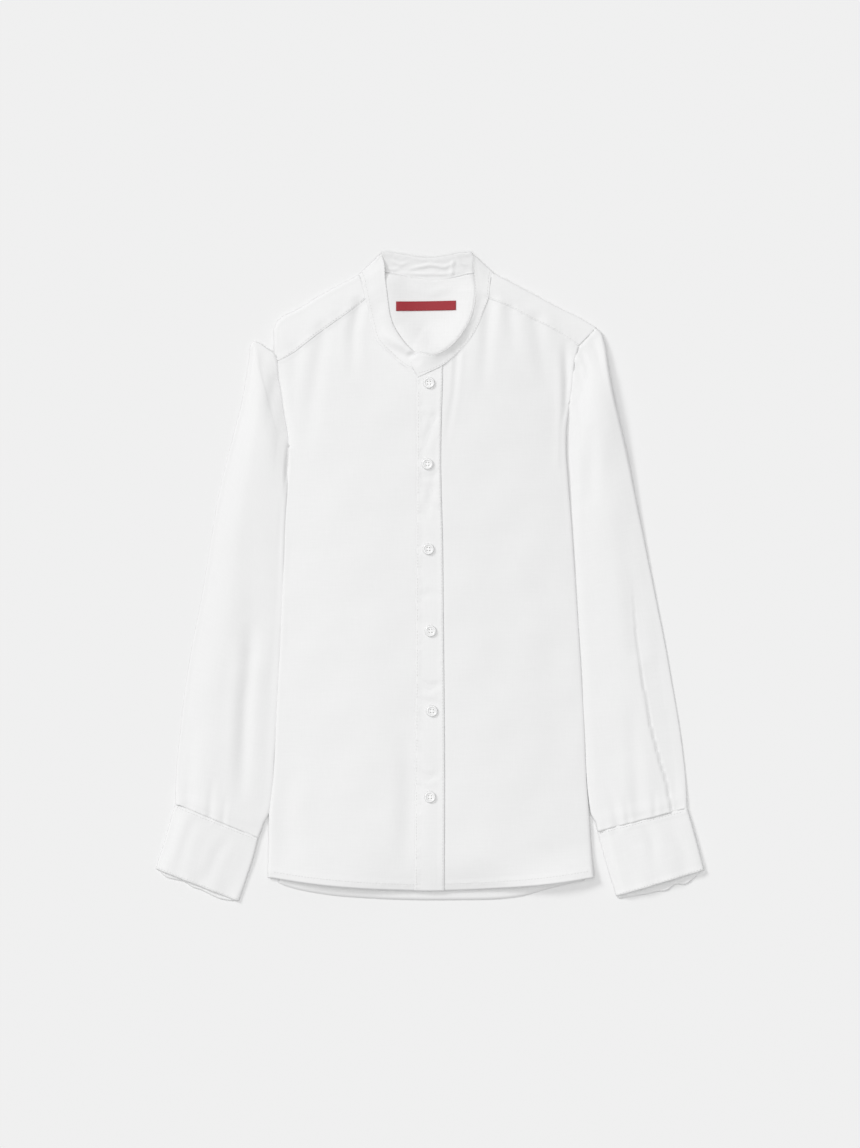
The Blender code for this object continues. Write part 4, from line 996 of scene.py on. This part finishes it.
# Label and buttons

def make_label(satin):
    """A plain woven label with its two ends turned under."""
    first, second, third, fourth = [np.array(point)[:, None] for point in LABEL_CORNERS]
    long, wide = 54, 8.6

    def place(u, v):
        x, y = mix(mix(first, second, u), mix(fourth, third, u), v)
        edge = np.minimum(np.minimum(u, 1 - u) * long, np.minimum(v, 1 - v) * wide)
        z = inside_height(x, y) + LABEL_LIFT - 0.25 * mound(edge, 0.5) + 0.15 * np.sin(u * 9)
        return Spots(x, y, z, u * long, v * wide, edge)

    piece = build_cloth("neck_label", [(60, 12, place)], satin, LABEL_WALL)
    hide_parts("neck_label")


def make_button(number, centre, pearl, cotton):
    """A four-hole button: a rolled rim round a dished middle, with thread in its holes drawn grey as
    painted shade.
    """
    base = float(body_height(np.array(centre.x), np.array(centre.y))) + PLACKET_HIGH + 0.05
    bm = bmesh.new()
    outline = [bm.verts.new((out * BUTTON_ACROSS / 2, 0.0, up)) for out, up in BUTTON_PROFILE]
    edges = [bm.edges.new(pair) for pair in zip(outline, outline[1:])]
    bmesh.ops.spin(bm, geom=outline + edges, cent=(0, 0, 0), axis=(0, 0, 1), angle=math.tau, steps=48,
                   use_merge=True)
    for high in (BUTTON_PROFILE[-1][1], BUTTON_PROFILE[0][1]):
        rim = [edge for edge in bm.edges if edge.is_boundary
               and all(abs(vertex.co.z - high) < 0.01 for vertex in edge.verts)]
        bmesh.ops.holes_fill(bm, edges=rim, sides=0)
    bmesh.ops.recalc_face_normals(bm, faces=bm.faces)
    moved = Matrix.Translation((centre.x * MM, centre.y * MM, base * MM)) @ Matrix.Scale(MM, 4)
    bmesh.ops.transform(bm, matrix=moved, verts=bm.verts)
    piece = keep(bm, f"button_{number}", pearl, sharp=40)
    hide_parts(f"button_{number}")

    # The thread in the holes, as grey discs: their grey is painted shade.
    bm = bmesh.new()
    for index in range(4):
        hole_x = HOLE_OUT * (1 if index % 2 else -1) + centre.x
        hole_y = HOLE_OUT * (1 if index > 1 else -1) + centre.y
        spot = Matrix.Translation((hole_x * MM, hole_y * MM, (base + HOLE_HIGH) * MM))
        radius = BUTTON_HOLE / 2 * MM
        bmesh.ops.create_circle(bm, cap_ends=True, segments=12, radius=radius, matrix=spot)
    holes = keep(bm, f"button_{number}_holes", cotton)


# Stitching

def surface_points(place, u, v, outward):
    """Points of a piece of cloth and the unit directions out of it."""
    step = 1e-3
    here = np.array(place(u, v)[:3])
    to_u = np.where(u + step <= 1, step, -step)
    to_v = np.where(v + step <= 1, step, -step)
    across = (np.array(place(u + to_u, v)[:3]) - here) / to_u
    along = (np.array(place(u, v + to_v)[:3]) - here) / to_v
    normal = np.cross(across.T, along.T) * outward
    return here.T, normal / np.maximum(np.linalg.norm(normal, axis=1)[:, None], 1e-9)


def add_stitches(bm, place, u, v, outward):
    """A row of topstitching along a line of the cloth, given by its shares u and v."""
    points, normals = surface_points(place, u, v, outward)
    run = run_along(points)

    def read(values, at):
        return Vector([np.interp(at, run, values[:, axis]) for axis in range(3)])

    for middle in np.arange(STITCH_PITCH, run[-1] - STITCH_PITCH / 2, STITCH_PITCH):
        centre = read(points, middle)
        if centre.z < CLOTH:
            continue
        normal = read(normals, middle)
        along = (read(points, middle + 1) - centre).normalized()
        side = normal.cross(along).normalized()
        turn = Matrix((along, side, along.cross(side))).transposed().to_4x4()
        size = Matrix.Diagonal((STITCH / 2, STITCH_WIDE / 2, STITCH_THICK / 2, 1.0))
        spot = Matrix.Translation((centre + normal * STITCH_LIFT) * MM) @ turn @ Matrix.Scale(MM, 4)
        bmesh.ops.create_icosphere(bm, subdivisions=1, radius=1.0, matrix=spot @ size)


def evenly(end=1.0):
    return np.linspace(0.0, end, 500)


def fixed(value):
    return np.full(500, float(value))


def make_stitching(seams, cotton):
    bm = bmesh.new()
    for place, u, v, outward in seams:
        add_stitches(bm, place, u, v, outward)
    # Its thread is greyer than the linen: painted shade along the rows.
    piece = keep(bm, "topstitching", cotton)


# Materials

def linear(colour):
    """An sRGB hex colour as linear values."""
    parts = [int(colour[start:start + 2], 16) / 255 for start in (1, 3, 5)]
    bent = [part / 12.92 if part <= 0.04045 else ((part + 0.055) / 1.055) ** 2.4 for part in parts]
    return bent + [1.0]


def wire(node, sockets):
    """Gives a node's sockets their values, or the outputs of other nodes."""
    for socket, source in sockets.items():
        if hasattr(source, "links"):
            node.id_data.links.new(source, node.inputs[socket])
        else:
            node.inputs[socket].default_value = source
    return node


def add(nodes, kind, sockets, **settings):
    """Adds a node with its settings and its sockets' values and links."""
    node = nodes.new("ShaderNode" + kind)
    for key, value in settings.items():
        setattr(node, key, value)
    return wire(node, sockets)


def blank(name, roughness, specular):
    made = bpy.data.materials.new(name)
    made.use_nodes = True
    nodes = made.node_tree.nodes
    sockets = {"Roughness": roughness, "Specular IOR Level": specular}
    return made, nodes, wire(nodes["Principled BSDF"], sockets)


def make_linen(name, pale, dark):
    """Plain-woven linen, washed: matt, with uneven threads both ways and puckers along its seams."""
    made, nodes, shader = blank(name, 0.92, 0.25)
    thread = add(nodes, "Attribute", {}, attribute_name="thread").outputs["Vector"]
    parts = add(nodes, "SeparateXYZ", {"Vector": thread})
    # Threads are 0.5 mm apart; the slubs that show are 1 to 1.6 mm thick and 10 to 20 mm long.
    grains = []
    for scale, detail in (((0.8, 0.06, 0.0), 2.0), ((0.05, 0.7, 0.0), 2.0), ((0.22, 0.22, 0.0), 1.5)):
        at = add(nodes, "Mapping", {"Vector": thread, "Scale": scale})
        grain = {"Vector": at.outputs["Vector"], "Scale": 1.0, "Detail": detail}
        grains.append(add(nodes, "TexNoise", grain).outputs["Fac"])
    warp, weft, pucker = grains
    slubs = add(nodes, "Math", {0: warp, 1: weft}, operation="ADD").outputs["Value"]
    tone = add(nodes, "MapRange", {"Value": slubs, "From Min": 0.7, "From Max": 1.3})
    tones = {0: tone.outputs["Result"], 6: linear(dark), 7: linear(pale)}
    colour = add(nodes, "Mix", tones, data_type="RGBA")
    # The weave itself, 0.9 mm a cell, drawn wider than the real 0.5 mm so that it shows close to.
    ups = []
    for axis in ("X", "Y"):
        turn = add(nodes, "Math", {0: parts.outputs[axis], 1: math.tau / 0.9}, operation="MULTIPLY")
        ups.append(add(nodes, "Math", {0: turn.outputs["Value"]}, operation="SINE").outputs["Value"])
    weave = add(nodes, "Math", {0: ups[0], 1: ups[1]}, operation="MULTIPLY")
    fine = add(nodes, "Math", {0: weave.outputs["Value"], 1: 0.25, 2: slubs},
               operation="MULTIPLY_ADD")
    near = add(nodes, "MapRange", {
        "Value": parts.outputs["Z"], "From Max": 5.0, "To Min": 1.0, "To Max": 0.0,
    }, interpolation_type="SMOOTHSTEP")
    gathered = add(nodes, "Math", {0: pucker, 1: near.outputs["Result"]}, operation="MULTIPLY")
    bumps = add(nodes, "Bump", {
        "Height": fine.outputs["Value"], "Strength": 0.3, "Distance": 0.00008,
    })
    seams = add(nodes, "Bump", {
        "Height": gathered.outputs["Value"], "Strength": 0.5, "Distance": 0.0012,
        "Normal": bumps.outputs["Normal"],
    })
    wire(shader, {"Base Color": colour.outputs[2], "Normal": seams.outputs["Normal"],
                  "Sheen Weight": 0.12, "Sheen Roughness": 0.6})
    return made


def make_satin():
    """Woven satin ribbon: dense fine threads, so a soft sheen along its length."""
    made, nodes, shader = blank("label_satin_red", 0.5, 0.4)
    thread = add(nodes, "Attribute", {}, attribute_name="thread").outputs["Vector"]
    rib_at = add(nodes, "Mapping", {"Vector": thread, "Scale": (0.5, 2.2, 0.0)})
    ribs = add(nodes, "TexNoise", {"Vector": rib_at.outputs["Vector"], "Scale": 1.0, "Detail": 2.0})
    share = ribs.outputs["Fac"]
    tones = {0: share, 6: linear("#86081A"), 7: linear("#A01022")}
    bumps = add(nodes, "Bump", {"Height": share, "Strength": 0.5, "Distance": 0.0001})
    wire(shader, {"Base Color": add(nodes, "Mix", tones, data_type="RGBA").outputs[2],
                  "Normal": bumps.outputs["Normal"], "Sheen Weight": 0.2})
    return made


def make_pearl():
    """Moulded pearl polyester: glossy, slightly clear, with cloudy bands of light and shade."""
    made, nodes, shader = blank("button_pearl_polyester", 0.22, 0.5)
    place = add(nodes, "TexCoord", {}).outputs["Object"]
    cloud_at = add(nodes, "Mapping", {"Vector": place, "Scale": (260.0, 140.0, 260.0)})
    cloud = add(nodes, "TexNoise", {
        "Vector": cloud_at.outputs["Vector"], "Scale": 1.0, "Detail": 3.0, "Distortion": 1.2,
    })
    tones = {0: cloud.outputs["Fac"], 6: linear("#D8D8D8"), 7: linear("#F2F2F2")}
    wire(shader, {
        "Base Color": add(nodes, "Mix", tones, data_type="RGBA").outputs[2], "IOR": 1.54,
        "Coat Weight": 0.35, "Coat Roughness": 0.1,
        "Subsurface Weight": 0.3, "Subsurface Radius": (0.002, 0.002, 0.002),
    })
    return made


def make_thread(name, roughness, specular, scale, dark, pale):
    """Spun cotton: matt, with a twist across it."""
    made, nodes, shader = blank(name, roughness, specular)
    place = add(nodes, "TexCoord", {}).outputs["Object"]
    twist = add(nodes, "TexNoise", {"Vector": place, "Scale": scale, "Detail": 1.0})
    tones = {0: twist.outputs["Fac"], 6: linear(dark), 7: linear(pale)}
    wire(shader, {"Base Color": add(nodes, "Mix", tones, data_type="RGBA").outputs[2]})
    return made


# Floor, light and camera

def make_floor():
    """A pale sheet just under the shirt."""
    made, _, shader = blank("matt_paper", 1.0, 0.0)
    wire(shader, {"Base Color": linear("#E7E7E7")})
    bm = bmesh.new()
    under = Matrix.Translation((0, 0, -0.0003))
    bmesh.ops.create_grid(bm, x_segments=1, y_segments=1, size=30.0, matrix=under)
    place_mesh(bm, "floor", made)


def make_light():
    world = bpy.data.worlds.new("studio")
    world.use_nodes = True
    wire(world.node_tree.nodes["Background"], {"Color": (1.0, 1.0, 1.0, 1.0), "Strength": 0.35})
    bpy.context.scene.world = world
    for name, energy, wide, towards in (
        ("window", 1.39, 16, (-1.2, 0.95, 1.0)), ("overhead", 1.56, 60, (0.0, 0.0, 1.0)),
    ):
        lamp = bpy.data.lights.new(name, "SUN")
        lamp.energy = energy
        lamp.angle = math.radians(wide)
        put(name, lamp).rotation_euler = Vector(towards).to_track_quat("Z", "Y").to_euler()


def make_camera():
    lens = bpy.data.cameras.new("camera")
    lens.lens = 90.0
    lens.sensor_width = 36.0
    camera = put("camera", lens)
    camera.location = (0.0, 0.0027, 2.593)   # straight above, so far that the shirt fills the frame
    bpy.context.scene.camera = camera


def main():
    make_camera()
    make_light()
    make_floor()
    bpy.context.scene.view_settings.view_transform = "Standard"
    linen = make_linen("linen_white", "#E6E6E6", "#E4E4E4")
    # The yoke's inner side is the same linen drawn a shade darker: painted shade inside the neck.
    facing = make_linen("linen_facing_painted_shade", "#E5E5E5", "#E2E2E2")
    # The topstitching is greyer than the linen: painted shade along its rows.
    cotton = make_thread("cotton_thread_painted_shade", 0.8, 0.3, 900.0, "#CECECD", "#DDDDDC")
    pearl = make_pearl()
    # The buttons' thread is grey where it lies in their holes: painted shade.
    holes = make_thread("button_hole_thread_painted_shade", 0.9, 0.2, 700.0, "#8E8E8C", "#B4B4B1")

    front_panel("front_left", LEFT_CUT, linen)
    front_panel("front_right", RIGHT_CUT, linen)
    make_placket(linen)
    make_back(linen)
    make_yoke(linen, facing)
    collar_place = make_collar(linen)
    make_label(make_satin())
    for number, centre in enumerate(BUTTONS, 1):
        make_button(number, centre, pearl, holes)

    seams = []
    for cut in (LEFT_CUT, RIGHT_CUT):
        seams.append((lower_front(cut), evenly(FLAT_SHARE), fixed(HEM_WIDE / FRONT_TALL), cut.sign))
    seams.append((back_place, evenly(), fixed(HEM_WIDE / BACK_TALL), 1))
    for edge in PLACKET_ROWS:
        seams.append((placket_place, fixed(edge), evenly(), 1))
    for rays, tip, outward in ((YOKE_LEFT, ARMHOLE_LEFT[0], -1), (YOKE_RIGHT, ARMHOLE_RIGHT[0], 1)):
        seams.append((wing(rays, tip), evenly(), fixed(YOKE_ROW), outward))
    for v in BAND_ROWS:
        seams.append((collar_place, evenly(), fixed(v), 1))
    for arm in (LEFT_ARM, RIGHT_ARM):
        make_sleeve(arm, linen)
        place, length = make_cuff(arm, linen)
        for v in ((CUFF_TUCK + TOPSTITCH) / (length + CUFF_TUCK), 1 - TOPSTITCH / length):
            seams.append((place, evenly(), fixed(v), arm.sign))
    make_stitching(seams, cotton)


main()
